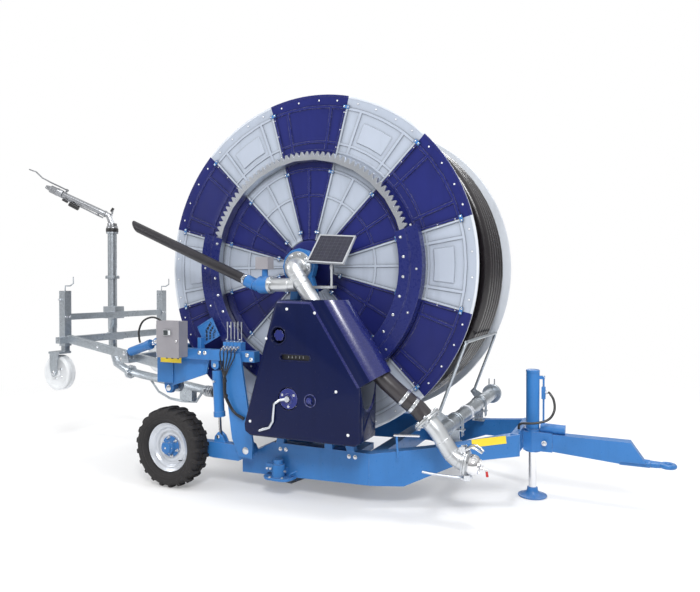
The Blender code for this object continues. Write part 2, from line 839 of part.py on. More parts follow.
def hood_outline(inset):
    """The front of the hood, drawn in by inset."""
    corners = [(-0.060, 1.810), (0.300, 1.800), (0.750, 1.100), (0.742, 0.640),
               (0.690, 0.603), (-0.320, 0.598), (-0.385, 0.640), (-0.392, 0.700)]
    if inset == 0:
        return corners
    middle = Vector((0.20, 1.10))
    drawn = []
    count = len(corners)
    for i, here in enumerate(corners):
        before = Vector(corners[i - 1])
        after = Vector(corners[(i + 1) % count])
        a = (Vector(here) - before).normalized()
        b = (after - Vector(here)).normalized()
        na = Vector((-a.y, a.x))
        nb = Vector((-b.y, b.x))
        if na.dot(middle - Vector(here)) < 0:
            na = -na
        if nb.dot(middle - Vector(here)) < 0:
            nb = -nb
        both = (na + nb).normalized()
        drawn.append(tuple(Vector(here) + both * (inset / max(0.4, both.dot(na)))))
    return drawn


def hood_solid(inset, back):
    """The body of the hood and the half-round that covers the supply hose."""
    front = -HOOD_FRONT + inset
    body = side_plate(hood_outline(inset), front, back)
    if inset == 0:
        rounding = body.modifiers.new("edge", "BEVEL")
        rounding.width = 0.028
        rounding.segments = 2
        rounding.limit_method = "ANGLE"
        rounding.angle_limit = math.radians(60)
        body = baked(body)
    top, bottom = Vector((0.300, 1.800)), Vector((0.750, 1.100))
    way = (bottom - top).normalized()
    out = Vector((-way.y, way.x))
    radius = (HOOD_FRONT - HOOD_BACK) / 2 - inset
    middle_y = -(HOOD_FRONT + HOOD_BACK) / 2
    start = top + out * HOOD_BULGE - way * (0.25 if inset == 0 else 0.45)
    end = bottom + out * HOOD_BULGE + way * (0.0 if inset == 0 else 0.3)
    half_round = rod((start.x, middle_y, start.y), (end.x, middle_y, end.y), radius, 20)
    return union(body, half_round)


def hood():
    """Moulded shell, open at the back, with its shroud open at both ends."""
    shell = hood_solid(0, -HOOD_BACK)
    above = box((-1, 2), (-1.6, -0.6), (1.8105, 2.6))
    shell = cut(shell, above)
    shell = cut(shell, hood_solid(HOOD_WALL, -HOOD_BACK + 0.05))
    legs = box((-0.50, 0.62), (-STAND_FACE - STAND_THICK - 0.015, -0.80), (0.50, 1.90))
    passage = rod((0.070, -PIPE_Y, 2.004), (0.340, -PIPE_Y, 1.647), PIPE_R + 0.014, 12)
    crank = rod((CRANK_X, -1.35, CRANK_Z), (CRANK_X, -1.15, CRANK_Z), CRANK_HOLE_R, 20)
    knob = rod((KNOB_X, -1.35, KNOB_Z), (KNOB_X, -1.15, KNOB_Z), KNOB_HOLE_R, 14)
    slot = box((-0.005, 0.285), (-1.35, -1.15), (1.292, 1.340))
    return cut(shell, legs, passage, crank, knob, slot)


def gearbox():
    """Gearbox on the stand, with the crank boss that shows in the hood."""
    back = -STAND_FACE - STAND_THICK - GAP
    body = box((-0.130, 0.290), (-1.150, back), (0.830, 1.110))
    boss = rod((CRANK_X, -1.10, CRANK_Z), (CRANK_X, -1.222, CRANK_Z), CRANK_HOLE_R - 0.006, 16)
    socket = rod((CRANK_X, -1.20, CRANK_Z), (CRANK_X, CRANK_SEAT, CRANK_Z), 0.030, 12)
    neck = box((-0.060, 0.060), (-1.135, back - 0.02), (1.100, 1.540))
    z = pinion_place()
    bore = rod((0, back - 0.08, z), (0, back + 0.02, z), bore_radius(PINION_SHAFT_R, 24), 24)
    return cut(union(body, boss, socket, neck), bore)


def crank_handle():
    """Elbow arm with a turning grip, on the gearbox socket."""
    seat = CRANK_SEAT - GAP
    hub = rod((CRANK_X, seat, CRANK_Z), (CRANK_X, seat - 0.030, CRANK_Z), 0.026, 12)
    y = seat - 0.018
    arm = tube(smooth_path([
        (CRANK_X, y, CRANK_Z), (-0.040, y, 0.935), (-0.060, y, 0.905), (-0.075, y, 0.740),
        (-0.090, y, 0.705), (-0.184, y - 0.004, 0.671)], 7), 0.012, 1)
    return union(hub, arm)


def selector_knob():
    """Notched hand wheel in the round recess of the hood."""
    front = -1.236
    outline = []
    for i in range(6):
        middle = i * 60
        outline += arc((KNOB_X, KNOB_Z), 0.052, middle - 17, middle + 17, 2)
        outline += arc((KNOB_X, KNOB_Z), 0.043, middle + 24, middle + 36, 2)
    wheel = side_plate(outline, front, front + 0.035)
    stem = rod((KNOB_X, front + 0.030, KNOB_Z), (KNOB_X, -1.135 - GAP, KNOB_Z), 0.014, 8)
    return union(wheel, stem)


# Chassis

def chassis_beam(side):
    """One side beam with its drawn-in front arm."""
    y0 = side * (BEAM_Y - BEAM_THICK / 2)
    y1 = side * (BEAM_Y + BEAM_THICK / 2)
    straight = side_plate([
        (-0.620, 0.155), (BEND_X, BEAM_BOTTOM), (BEND_X, BEAM_TOP), (-0.280, BEAM_TOP),
        (-0.420, 0.400), (-0.620, 0.340)], y0, y1)
    along = Vector((YOKE_X - BEND_X, side * (YOKE_HALF - BEAM_Y), 0))
    length = along.length
    outline = [(-0.020, BEAM_BOTTOM), (0.280, 0.190), (0.800, 0.400), (length, YOKE_BOTTOM),
               (length, YOKE_TOP), (0.800, 0.560), (0.480, 0.520), (-0.020, BEAM_TOP - 0.002)]
    turn = math.atan2(along.y, along.x)
    placed = Matrix.Translation((BEND_X, side * BEAM_Y, 0)) @ Matrix.Rotation(turn, 4, "Z")
    upright = Matrix(((1, 0, 0, 0), (0, 0, 1, -BEAM_THICK / 2 + 0.001), (0, 1, 0, 0), (0, 0, 0, 1)))
    angled = plate([outline], BEAM_THICK - 0.002, placed @ upright)
    return [straight, angled]


def chassis_side(side):
    """Strut, rail, tower, guide panel and pivot pins of one side."""
    inner = side * (BEAM_Y + BEAM_THICK / 2 - 0.010)
    strut_in = side * 1.0355
    strut_out = side * 1.0600
    strut = side_plate(
        [(-0.430, 0.330), (-0.420, 0.480), (-0.560, RAIL_Z[1] - 0.02), (-0.740, RAIL_Z[1] - 0.02),
         (-0.740, 1.120), (-0.650, 0.500), (-0.570, 0.340)], strut_in, strut_out)
    head = box((-0.735, -0.565), sorted((side * 1.020, side * 1.058)), (1.225, 1.295))
    pin = rod((PIVOT_X, inner, PIVOT_Z), (PIVOT_X, side * 1.050, PIVOT_Z), PIVOT_PIN_R, 10)
    rail_y = sorted((side * (RAIL_Y - RAIL_WIDE / 2), side * (RAIL_Y + RAIL_WIDE / 2)))
    rail = box((TOWER_X[0] + 0.03, -0.420), rail_y, RAIL_Z)
    tower = box(TOWER_X, sorted((side * TOWER_Y[0], side * TOWER_Y[1])), TOWER_Z)
    lug = side_plate([(-1.570, 0.990), (-1.430, 0.990)] + arc((LIFT_X, LIFT_Z), 0.055, 0, -180, 4),
                     side * 0.900, side * 0.945)
    lift_pin = rod((LIFT_X, side * 0.930, LIFT_Z), (LIFT_X, side * 0.770, LIFT_Z), LIFT_PIN_R, 10)
    panel = side_plate([(-1.440, 1.240), (-0.980, 1.240), (-1.020, 1.070), (-1.440, 0.930)],
                       side * 0.946, side * 0.966)
    cheeks = []
    for off in (-CHEEK_OFF, CHEEK_OFF):
        cheek_y = side * RAIL_Y + off
        outline = [(RAM_TOP_X - 0.045, 1.240), (RAM_TOP_X - 0.045, RAM_TOP_Z)]
        outline += arc((RAM_TOP_X, RAM_TOP_Z), 0.045, 210, 330, 3)
        outline += [(RAM_TOP_X + 0.045, 1.240)]
        cheeks.append(side_plate(outline, cheek_y - CHEEK_THICK / 2, cheek_y + CHEEK_THICK / 2))
    return [strut, head, pin, rail, tower, lug, lift_pin, panel] + cheeks


def tower_head():
    """Cheeks on the near tower that take the lift ram's rod."""
    x, z = RAM_B
    shapes = [box((-1.600, -1.500), (-0.975, -0.880), (1.375, 1.400))]
    for off in (-LIFT_CHEEK_OFF, LIFT_CHEEK_OFF):
        y0, y1 = LIFT_RAM_Y + off - CHEEK_THICK / 2, LIFT_RAM_Y + off + CHEEK_THICK / 2
        outline = arc((x, z), 0.040, 90, 270, 4) + [(-1.560, 1.300), (-1.520, 1.410)]
        shapes.append(side_plate(outline, y0, y1))
    return shapes


def rear_grille():
    """Tilted square guard with curved slots, on a foot on the near rail."""
    half = GRILLE_SIZE / 2
    tilt = Matrix.Rotation(math.radians(GRILLE_TILT), 4, "Z")
    upright = Matrix(((1, 0, 0, GRILLE_X), (0, 0, 1, GRILLE_Y), (0, 1, 0, GRILLE_Z), (0, 0, 0, 1)))
    place = upright @ tilt
    slots = []
    for i in range(3):
        inner = GRILLE_SIZE * (0.32 + 0.22 * i)
        outer = inner + GRILLE_SIZE * 0.13
        slot = arc((half, -half), inner, 100, 170, 3) + arc((half, -half), outer, 170, 100, 3)
        slots.append(plate([slot], 3 * GRILLE_THICK, place @ Matrix.Translation((0, 0, -GRILLE_THICK))))
    sheet = plate([[(-half, -half), (half, -half), (half, half), (-half, half)]], GRILLE_THICK, place)
    foot = box((GRILLE_X - 0.085, GRILLE_X - 0.045), (GRILLE_Y - 0.060, GRILLE_Y + 0.002),
               (RAIL_Z[1] - 0.010, GRILLE_Z - 0.060))
    return [cut(sheet, *slots), foot]


def chassis_frame():
    """Both beams, cross members, yoke, rear towers, rails and struts."""
    inner = BEAM_Y - BEAM_THICK / 2 + 0.02
    shapes = []
    for side in (-1, 1):
        shapes += chassis_beam(side)
        shapes += chassis_side(side)
    shapes += tower_head() + rear_grille()
    shapes.append(box((-0.600, -0.480), (-inner, inner), (0.180, 0.330)))
    shapes.append(box((0.560, 0.680), (-inner, inner), (0.230, 0.400)))
    shapes.append(box((YOKE_X - 0.060, YOKE_X - 0.0005), (-YOKE_HALF - 0.045, YOKE_HALF + 0.045),
                      (YOKE_BOTTOM + 0.002, YOKE_TOP - 0.002)))
    shapes.append(box((-0.760, 0.160), (-0.460, 0.460), (SLEW_PLATE + SLEW_RING_H + GAP, 0.200)))
    shapes.append(box((-0.250, -0.100), (-inner, inner), (0.190, 0.300)))
    shapes.append(box((-1.600, -1.500), (-0.930, 0.930), (1.222, 1.318)))
    shapes.append(box((GUIDE_X - GUIDE_BAR / 2, GUIDE_X + GUIDE_BAR / 2), (-0.952, 0.952), GUIDE_BAR_Z))
    return dissolved(union(*shapes))


def slew_base():
    """Cross of two flat beams on the ground, with the slewing ring on top."""
    turn = Matrix.Translation((SLEW_X, 0, 0)) @ Matrix.Rotation(math.radians(SLEW_ANGLE), 4, "Z")
    cross_outline = [
        (SLEW_ARM_HALF, SLEW_ARM_LONG), (SLEW_ARM_HALF, SLEW_ARM_HALF), (SLEW_ARM_LONG, SLEW_ARM_HALF),
        (SLEW_ARM_LONG, -SLEW_ARM_HALF), (SLEW_ARM_HALF, -SLEW_ARM_HALF), (SLEW_ARM_HALF, -SLEW_ARM_LONG),
        (-SLEW_ARM_HALF, -SLEW_ARM_LONG), (-SLEW_ARM_HALF, -SLEW_ARM_HALF),
        (-SLEW_ARM_LONG, -SLEW_ARM_HALF), (-SLEW_ARM_LONG, SLEW_ARM_HALF),
        (-SLEW_ARM_HALF, SLEW_ARM_HALF), (-SLEW_ARM_HALF, SLEW_ARM_LONG)]
    cross = plate([cross_outline], SLEW_PLATE, turn)
    ring = turned([(0, SLEW_PLATE - 0.010), (SLEW_RING_R, SLEW_PLATE - 0.010),
                   (SLEW_RING_R, SLEW_PLATE + SLEW_RING_H), (0, SLEW_PLATE + SLEW_RING_H)],
                  18, (SLEW_X, 0, 0), (SLEW_X, 0, 1))
    return dissolved(union(cross, ring))


def slew_motor():
    """Hydraulic motor on a flange plate outside the near beam."""
    x, y = -0.180, -1.000
    seat = -(BEAM_Y + BEAM_THICK / 2) - GAP
    round_ends = arc((x - 0.06, y), 0.080, 200, 270, 4) + arc((x + 0.06, y), 0.080, 270, 340, 4)
    foot = side_outline_plate([(x - 0.150, seat), (x - 0.140, y - 0.030)] + round_ends
                              + [(x + 0.150, seat)], 0.165, 0.190)
    body = turned([(0, 0.180), (0.062, 0.180), (0.062, 0.300), (0.045, 0.305), (0.045, 0.345), (0, 0.345)],
                  10, (x, y, 0), (x, y, 1))
    ports = box((x - 0.110, x - 0.030), (y - 0.035, y + 0.035), (0.230, 0.300))
    web = box((x - 0.060, x + 0.060), (y + 0.04, seat), (0.170, 0.260))
    return union(foot, body, ports, web)


def side_outline_plate(outline, z0, z1):
    """A plate whose outline is in X and Y, between two heights."""
    return plate([outline], z1 - z0, Matrix.Translation((0, 0, z0)))


# Road wheels

def tyre(side):
    """Turned carcass with staggered tread blocks raised from its faces."""
    half = TYRE_WIDE / 2
    r = WHEEL_R - 0.018
    rows = [(RIM_R + 0.003, half - 0.045), (RIM_R + 0.030, half - 0.010), (0.320, half), (r, half - 0.030),
            (r + 0.002, 0), (r, -half + 0.030), (0.320, -half), (RIM_R + 0.030, -half + 0.010),
            (RIM_R + 0.003, -half + 0.045)]
    carcass = turned(rows, WHEEL_STEPS, wheel_centre(side), wheel_centre(side, 1.0))
    centre = Vector(wheel_centre(side))
    bm = bmesh.new()
    bm.from_mesh(carcass.data)
    bpy.data.objects.remove(carcass, do_unlink=True)
    blocks = []
    for face in bm.faces:
        off = face.calc_center_median() - centre
        radial = math.hypot(off.x, off.z)
        if radial > r - 0.010:
            slot = int(math.floor((math.degrees(math.atan2(off.z, off.x)) % 360) * WHEEL_STEPS / 360))
            column = 0 if off.y < 0 else 1
            if (slot + column) % 2 == 0:
                blocks.append(face)
    for face in blocks:
        made = bmesh.ops.extrude_discrete_faces(bm, faces=[face])["faces"][0]
        for vert in made.verts:
            off = vert.co - centre
            out = Vector((off.x, 0, off.z)).normalized()
            vert.co += out * 0.015 - Vector((0, off.y * 0.02, 0))
            vert.co -= (vert.co - made.calc_center_median()) * 0.04
    bmesh.ops.recalc_face_normals(bm, faces=bm.faces)
    return object_from(bm)


def wheel_centre(side, further=0.0):
    """The middle of a road wheel; further moves along its axle, outwards."""
    y = WHEEL_OUT_Y - TYRE_WIDE / 2 + further
    return (WHEEL_X, side * y, WHEEL_R)


def wheel_rim(side):
    """Pressed rim with its dish, and the hub with wheel studs' ring."""
    half = TYRE_WIDE / 2
    wall = 0.008
    bore = bore_radius(STUB_R, WHEEL_STEPS)
    rows = [
        (RIM_R + 0.002, half - 0.046), (RIM_R + 0.002, -half + 0.046), (RIM_R - 0.012, -half + 0.046),
        (RIM_R - 0.012 - wall, 0.010), (bore, 0.002), (bore, 0.095), (0.070, 0.088), (0.085, 0.016),
        (RIM_R - 0.040, 0.026)]
    rim = turned(rows, WHEEL_STEPS, wheel_centre(side), wheel_centre(side, 1.0))
    return rim


def wheel_arm(side):
    """Box arm from the pivot to the stub axle, with the ram's lug on top."""
    y0 = side * (RAIL_Y - ARM_THICK / 2)
    y1 = side * (RAIL_Y + ARM_THICK / 2)
    body = side_plate(
        [(WHEEL_X - 0.060, 0.315), (-0.880, 0.285), (-0.600, 0.285)]
        + arc((PIVOT_X, PIVOT_Z), 0.062, -80, 90, 5)
        + [(-0.600, 0.435), (-0.880, 0.435), (WHEEL_X - 0.060, 0.425)], y0, y1)
    shapes = [body]
    for off in (-CHEEK_OFF, CHEEK_OFF):
        cheek_y = side * RAIL_Y + off
        outline = [(LUG_X - 0.055, 0.420), (LUG_X + 0.085, 0.420)]
        outline += arc((LUG_X, LUG_Z), 0.045, 10, 180, 3)
        shapes.append(side_plate(outline, cheek_y - CHEEK_THICK / 2, cheek_y + CHEEK_THICK / 2))
    axle_in = side * (RAIL_Y + 0.020)
    axle_out = wheel_centre(side, 0.085)[1]
    shapes.append(rod((WHEEL_X, axle_in, WHEEL_R), (WHEEL_X, axle_out, WHEEL_R), STUB_R, 12))
    collar_out = wheel_centre(side, 0.002 - GAP)[1]
    shapes.append(rod((WHEEL_X, axle_in, WHEEL_R), (WHEEL_X, collar_out, WHEEL_R), 0.056, 12))
    arm = union(*shapes)
    bore = rod((PIVOT_X, y0 - side * 0.02, PIVOT_Z), (PIVOT_X, y1 + side * 0.02, PIVOT_Z),
               bore_radius(PIVOT_PIN_R, 10), 10)
    return cut(arm, bore)


def ram_pair(top, foot, middle_y, barrel_r, rod_r, barrel_share, eye, cheek_off):
    """Barrel with an eye at the top, rod with an eye at the foot."""
    top = Vector((top[0], middle_y, top[1]))
    foot = Vector((foot[0], middle_y, foot[1]))
    way = (foot - top).normalized()
    length = (foot - top).length
    mouth = top + way * length * barrel_share
    neck = rod(top + way * 0.010, top + way * 0.060, 0.016, 6)
    half = Vector((0, cheek_off - CHEEK_THICK / 2 - GAP, 0))
    head = rod(top - half, top + half, eye, 10)
    body = rod(top + way * 0.052, mouth, barrel_r, 10)
    collar = rod(mouth - way * 0.045, mouth + way * 0.006, barrel_r + 0.006, 10)
    barrel = union(body, collar, neck, head)
    hollow = rod(top + way * 0.080, mouth + way * 0.02, rod_r + RUN, 8)
    barrel = cut(barrel, hollow)
    shaft = rod(mouth - way * (length * barrel_share * 0.60), foot - way * 0.006, rod_r, 8)
    end = rod(foot - half, foot + half, eye * 0.72, 10)
    return barrel, union(shaft, end)


# Drawbar, jack and hitch

def drawbar():
    """Socket, beam with its slanted end, swivel tube and the jack's tube."""
    half = DRAW_WIDE / 2
    top = DRAW_Z + DRAW_HIGH / 2
    low = DRAW_Z - DRAW_HIGH / 2
    beam = side_plate([
        (JACK_X + 0.120, low - 0.004), (DRAW_END_X - 0.120, low - 0.050), (DRAW_END_X - 0.110, low - 0.030),
        (DRAW_END_X + 0.090, low - 0.030), (DRAW_END_X - 0.030, top - 0.005), (JACK_X + 0.120, top)],
        -half, half)
    socket = box((YOKE_X + GAP, 2.109), (-half - 0.009, half + 0.009), (low - 0.014, top + 0.010))
    tube_z = HITCH_Z
    swivel = rod((DRAW_END_X - 0.120, 0, tube_z), (DRAW_END_X + 0.120, 0, tube_z), 0.036, 12)
    stub = rod((2.000, 0, top + 0.045), (2.215, 0, top + 0.038), 0.045, 12)
    pin = rod((2.045, -half - 0.040, DRAW_Z), (2.045, half + 0.040, DRAW_Z), 0.014, 6)
    jack = rod((JACK_X, 0, JACK_Z[0]), (JACK_X, 0, JACK_Z[1]), JACK_R, 14)
    bracket = rod((JACK_X, 0, DRAW_Z + 0.105), (JACK_X, 0, JACK_Z[0] - 0.012), JACK_R + 0.012, 10)
    valve = box((JACK_X + 0.078, JACK_X + 0.112), (-0.020, 0.020), (0.900, 1.010))
    side_rod = rod((JACK_X + 0.095, 0, 0.590), (JACK_X + 0.095, 0, 1.100), 0.010, 6)
    ear = box((JACK_X + 0.040, JACK_X + 0.105), (-0.014, 0.014), (1.080, 1.110))
    bar_shape = union(beam, socket, swivel, stub, pin, bracket, jack, side_rod, valve, ear)
    hollow = rod((JACK_X, 0, JACK_Z[0] - 0.05), (JACK_X, 0, JACK_Z[1] - 0.030), JACK_R - JACK_WALL, 12)
    bore = rod((DRAW_END_X - 0.060, 0, tube_z), (DRAW_END_X + 0.200, 0, tube_z), bore_radius(0.020, 10), 10)
    return cut(bar_shape, hollow, bore)


def jack_leg():
    """Chromed ram and dished foot on the ground."""
    piston = JACK_R - JACK_WALL - RUN
    return turned([
        (0, 0), (JACK_FOOT_R, 0), (JACK_FOOT_R, 0.012), (0.060, 0.040), (0.045, 0.075), (0.036, 0.080),
        (0.036, 0.760), (piston, 0.760), (piston, 0.800), (0, 0.800)], 12, (JACK_X, 0, 0), (JACK_X, 0, 1))


def hitch_ring():
    """Towing eye on its swivel shank."""
    shank_start = DRAW_END_X - 0.040
    face = DRAW_END_X + 0.120 + GAP
    shank = rod((shank_start, 0, HITCH_Z), (face + 0.010, 0, HITCH_Z), 0.020, 10)
    collar = rod((face, 0, HITCH_Z), (face + 0.110, 0, HITCH_Z), 0.030, 10, 0.024)
    eye = turned([(HITCH_R - 0.020, -0.014), (HITCH_R + 0.002, -0.022), (HITCH_R + 0.022, -0.012),
                  (HITCH_R + 0.022, 0.012), (HITCH_R + 0.002, 0.022), (HITCH_R - 0.020, 0.014)],
                 12, (HITCH_X, 0, HITCH_Z), (HITCH_X, 0, HITCH_Z + 1))
    return union(shank, collar, eye)


# Water inlet

def inlet_pipe():
    """Flanged elbow on the hub, pipe into the shroud, and the bypass branch."""
    seat = -STAND_FACE - STAND_THICK - GAP
    flange = rod((0, seat, DRUM_Z), (0, seat - 0.024, DRUM_Z), 0.135, 14)
    end, way = pipe_end()
    run = tube(seated_path([
        (0, seat - 0.010, DRUM_Z), (0, -1.010, DRUM_Z), (0.012, -1.064, DRUM_Z - 0.016),
        (0.052, -PIPE_Y, 2.045), (0.200, -PIPE_Y, 1.832), end - way * 0.050, end], 8), PIPE_R, 3)
    branch = rod((0.060, -PIPE_Y, 1.940), (-0.215, -PIPE_Y, 1.940), 0.060, 12)
    lip = rod((-0.190, -PIPE_Y, 1.940), (-0.215, -PIPE_Y, 1.940), 0.078, 12)
    return union(flange, run, branch, lip)


def pipe_end():
    """The end of the inlet pipe inside the shroud, and its direction."""
    way = Vector((0.130, 0, -0.172)).normalized()
    return Vector((0.330, -PIPE_Y, 1.660)), way


def manifold_face():
    """The seat of the supply hose on the manifold's flange, and its normal."""
    way = Vector((0.0895, 0, -0.0919)).normalized()
    return Vector((1.2205, -MANIFOLD_Y, 0.8439)), way


def bypass_valve():
    """Blue valve body on the branch, its actuator and the outlet neck."""
    x0 = -0.215 - GAP
    body = rod((x0, -PIPE_Y, 1.940), (x0 - 0.100, -PIPE_Y, 1.940), 0.080, 10)
    start, way = discharge_line()
    waist = rod((x0 - 0.080, -PIPE_Y, 1.940), (DISCHARGE_NECK[0], -PIPE_Y, 1.940), 0.056, 10)
    neck = rod(start - way * DISCHARGE_SEAT, start, 0.058, 12)
    stem = rod((x0 - 0.050, -PIPE_Y, 1.95), (x0 - 0.050, -PIPE_Y, 2.110), 0.028, 8)
    actuator = box((x0 - 0.120, x0 + 0.010), (-PIPE_Y - 0.050, -PIPE_Y + 0.050), (2.080, 2.190))
    return union(body, waist, neck, stem, actuator)


def discharge_line():
    """The seat of the outlet pipe on the valve, and the pipe's direction."""
    neck = Vector((DISCHARGE_NECK[0], -PIPE_Y, DISCHARGE_NECK[1]))
    way = (Vector((DISCHARGE_END[0], -PIPE_Y, DISCHARGE_END[1])) - neck).normalized()
    return neck + way * DISCHARGE_SEAT, way


def discharge_pipe():
    """Black outlet pipe with a slanted tip."""
    seat, way = discharge_line()
    start = seat + way * GAP
    end = Vector((DISCHARGE_END[0], -PIPE_Y, DISCHARGE_END[1]))
    pipe = rod(start, end, 0.047, 14)
    bore = rod(start + way * 0.6, end + way * 0.1, 0.040, 14)
    tip = box((-0.2, 0.2), (-0.2, 0.2), (0.0, 0.3))
    slant = aim(end - way * 0.050, end + way) @ Matrix.Rotation(math.radians(38), 4, "Y")
    tip.data.transform(slant)
    return cut(pipe, bore, tip)


def supply_hose():
    """Black suction hose from the inlet pipe to the manifold, two clamps."""
    first, first_way = pipe_end()
    last, last_way = manifold_face()
    route = seated_path(
        [first + first_way * GAP, first + first_way * 0.050] + [Vector(p) for p in SUPPLY_ROUTE]
        + [last - last_way * 0.090, last - last_way * GAP], 10)
    hose = tube(route, SUPPLY_R, 3)
    shapes = [hose]
    for back, wide in ((3, 0.028), (2, 0.028)):
        a, b = route[-back - 1], route[-back]
        way = (b - a).normalized()
        shapes.append(rod(a + way * 0.03, a + way * (0.03 + wide), SUPPLY_R + 0.008, 12))
    return union(*shapes)


def inlet_manifold():
    """Flange, elbow, near coupling, crossover pipe and far coupling."""
    y = -MANIFOLD_Y
    face, way = manifold_face()
    flange = rod(face, face + way * 0.030, 0.125, 14)
    main = tube(smooth_path([
        face + way * 0.010, (1.310, y, 0.752), (1.375, y, 0.660), (1.440, y, 0.570), (1.520, y, 0.520),
        (1.600, y, 0.505)], 7), PIPE_R, 2)
    ring = rod((1.535, y, 0.515), (1.570, y, 0.509), 0.105, 12)
    coupling = rod((1.560, y, 0.511), (1.665, y, 0.495), 0.080, 12)
    cross = rod((CROSS_X, y, CROSS_Z), (CROSS_X, CROSS_END_Y, CROSS_Z), 0.065, 10)
    clamp = rod((CROSS_X, -0.080, CROSS_Z), (CROSS_X, -0.040, CROSS_Z), 0.078, 10)
    far_ring = rod((CROSS_X, CROSS_END_Y - 0.030, CROSS_Z),
                   (CROSS_X, CROSS_END_Y + 0.020, CROSS_Z), 0.105, 12)
    far_cap = turned([(0, 0), (0.085, 0), (0.085, 0.050), (0.060, 0.085), (0, 0.100)], 10,
                     (CROSS_X, CROSS_END_Y + 0.010, CROSS_Z), (CROSS_X, CROSS_END_Y + 1, CROSS_Z))
    shapes = [main, flange, ring, coupling, cross, clamp, far_ring, far_cap]
    for side in (-1, 1):
        shapes.append(bail_lug(side))
        post_y = side * 0.470
        shapes.append(box((CROSS_X - 0.045, CROSS_X + 0.045), (post_y - 0.008, post_y + 0.008),
                          (beam_top_at(CROSS_X) + GAP, CROSS_Z - 0.020)))
    return union(*shapes)


def beam_top_at(x):
    """Height of the drawn-in arm's top edge at X, from its own outline."""
    length = math.hypot(YOKE_X - BEND_X, BEAM_Y - YOKE_HALF)
    along = (x - BEND_X) / (YOKE_X - BEND_X) * length
    return 0.520 + (0.560 - 0.520) * (along - 0.480) / (0.800 - 0.480)


def coupling_lever():
    """Clamp lever of the near coupling, pointing back along the pipe."""
    y = -MANIFOLD_Y
    hub = rod((1.552, y - 0.030, LEVER_Z), (1.552, y + 0.030, LEVER_Z), 0.014, 10)
    handle = tube(smooth_path([(1.552, y, LEVER_Z), (1.480, y - 0.01, 0.391), (1.300, y - 0.03, 0.398),
                               (1.200, y - 0.04, 0.408)], 5), 0.011, 1)
    return union(hub, handle)


# Rear equipment

def control_box():
    """Steel cabinet body on the near rail, open towards its door."""
    x, z = BOX_X, BOX_Z
    back = -RAIL_Y - RAIL_WIDE / 2 - GAP
    body = box(x, (BOX_FRONT, back), z)
    hollow = box((x[0] + 0.012, x[1] - 0.012), (BOX_FRONT - 0.01, back - 0.012),
                 (z[0] + 0.012, z[1] - 0.012))
    return cut(body, hollow)


def control_door():
    """Door with a display window, hinged on its left edge."""
    x, z = BOX_X, BOX_Z
    door = box((x[0] - 0.004, x[1] + 0.004), (BOX_FRONT - GAP - 0.016, BOX_FRONT - GAP),
               (z[0] - 0.004, z[1] + 0.004))
    window = box((x[0] + 0.110, x[0] + 0.170), (BOX_FRONT - 0.03, BOX_FRONT - 0.008),
                 (z[1] - 0.130, z[1] - 0.090))
    knob = rod((x[1] - 0.020, BOX_FRONT - 0.010, 1.400),
               (x[1] - 0.020, BOX_FRONT - 0.030, 1.400), 0.012, 10)
    return cut(union(door, knob), window)


def solar_panel():
    """Framed panel on a post from the stand."""
    low = Vector((0.325, -1.050, 2.125))
    lean = Vector((0.030, 0.200, 0.255))
    panel = box((-0.185, 0.185), (-0.012, 0.012), (0, lean.length))
    across = Vector((1, 0, 0))
    upper = lean.normalized()
    across = (across - upper * across.dot(upper)).normalized()
    turn = Matrix((across, upper.cross(across), upper)).transposed().to_4x4()
    panel.data.transform(Matrix.Translation(low) @ turn)
    foot_y = -STAND_FACE - STAND_THICK - GAP
    post = rod((0.365, -1.000, 1.910), (0.365, -1.000, 2.250), 0.011, 8)
    strap = box((0.100, 0.385), (foot_y - 0.024, foot_y), (1.905, 1.930))
    shelf = box((0.345, 0.385), (-1.015, foot_y - 0.010), (1.907, 1.928))
    return union(panel, post, strap, shelf)


def valve_block():
    """Five-section directional valve on the near rail."""
    body = box(VALVE_X, (-RAIL_Y - 0.045, -RAIL_Y + 0.035), VALVE_Z)
    shapes = [body]
    for x in lever_places():
        port = Vector((x, -RAIL_Y - 0.085, 1.340))
        shapes.append(rod(port - PORT_WAY * 0.060, port, 0.011, 5))
        shapes.append(rod((x, -RAIL_Y, 1.395), (x, -RAIL_Y, STUD_TOP), 0.013, 5))
    return union(*shapes)


def lever_places():
    """Where the five levers stand along the block."""
    span = VALVE_X[1] - VALVE_X[0]
    return [VALVE_X[0] + span * (i + 0.5) / 5 for i in range(5)]


def valve_lever(x):
    """Rod with a thicker grip, standing on the section's spool."""
    foot = STUD_TOP + GAP
    return turned([(0, foot), (0.001, foot), (0.005, foot + 0.020), (0.005, 1.540), (0.008, 1.540),
                   (0.008, 1.590), (0, 1.590)], 6, (x, -RAIL_Y, 0), (x, -RAIL_Y, 1))


def bail_line():
    """The bail's foot on its lugs, and the way up that clears the winding."""
    angle = math.radians(BAIL_LUG_ANGLE)
    foot = Vector((CROSS_X + BAIL_LUG_LONG * math.cos(angle), 0, CROSS_Z + BAIL_LUG_LONG * math.sin(angle)))
    inwards = Vector((0, 0, DRUM_Z)) - foot
    reach = OUTER_LAYER_R + HOSE_R + BAIL_R + BAIL_CLEAR
    turn = math.asin(reach / inwards.length)
    return foot, Matrix.Rotation(turn, 3, "Y") @ inwards.normalized()


def winding_bail():
    """Galvanised bow in front of the winding."""
    foot, way = bail_line()
    side = Vector((0, BAIL_HALF, 0))
    half = [foot - side, foot + way * BAIL_LONG / 2 - side, foot + way * BAIL_LONG - side,
            foot + way * (BAIL_LONG + 0.014) - side * 0.953, foot + way * (BAIL_LONG + 0.018) - side * 0.844]
    other = [Vector((p.x, -p.y, p.z)) for p in reversed(half)]
    return tube(half + other, BAIL_R)


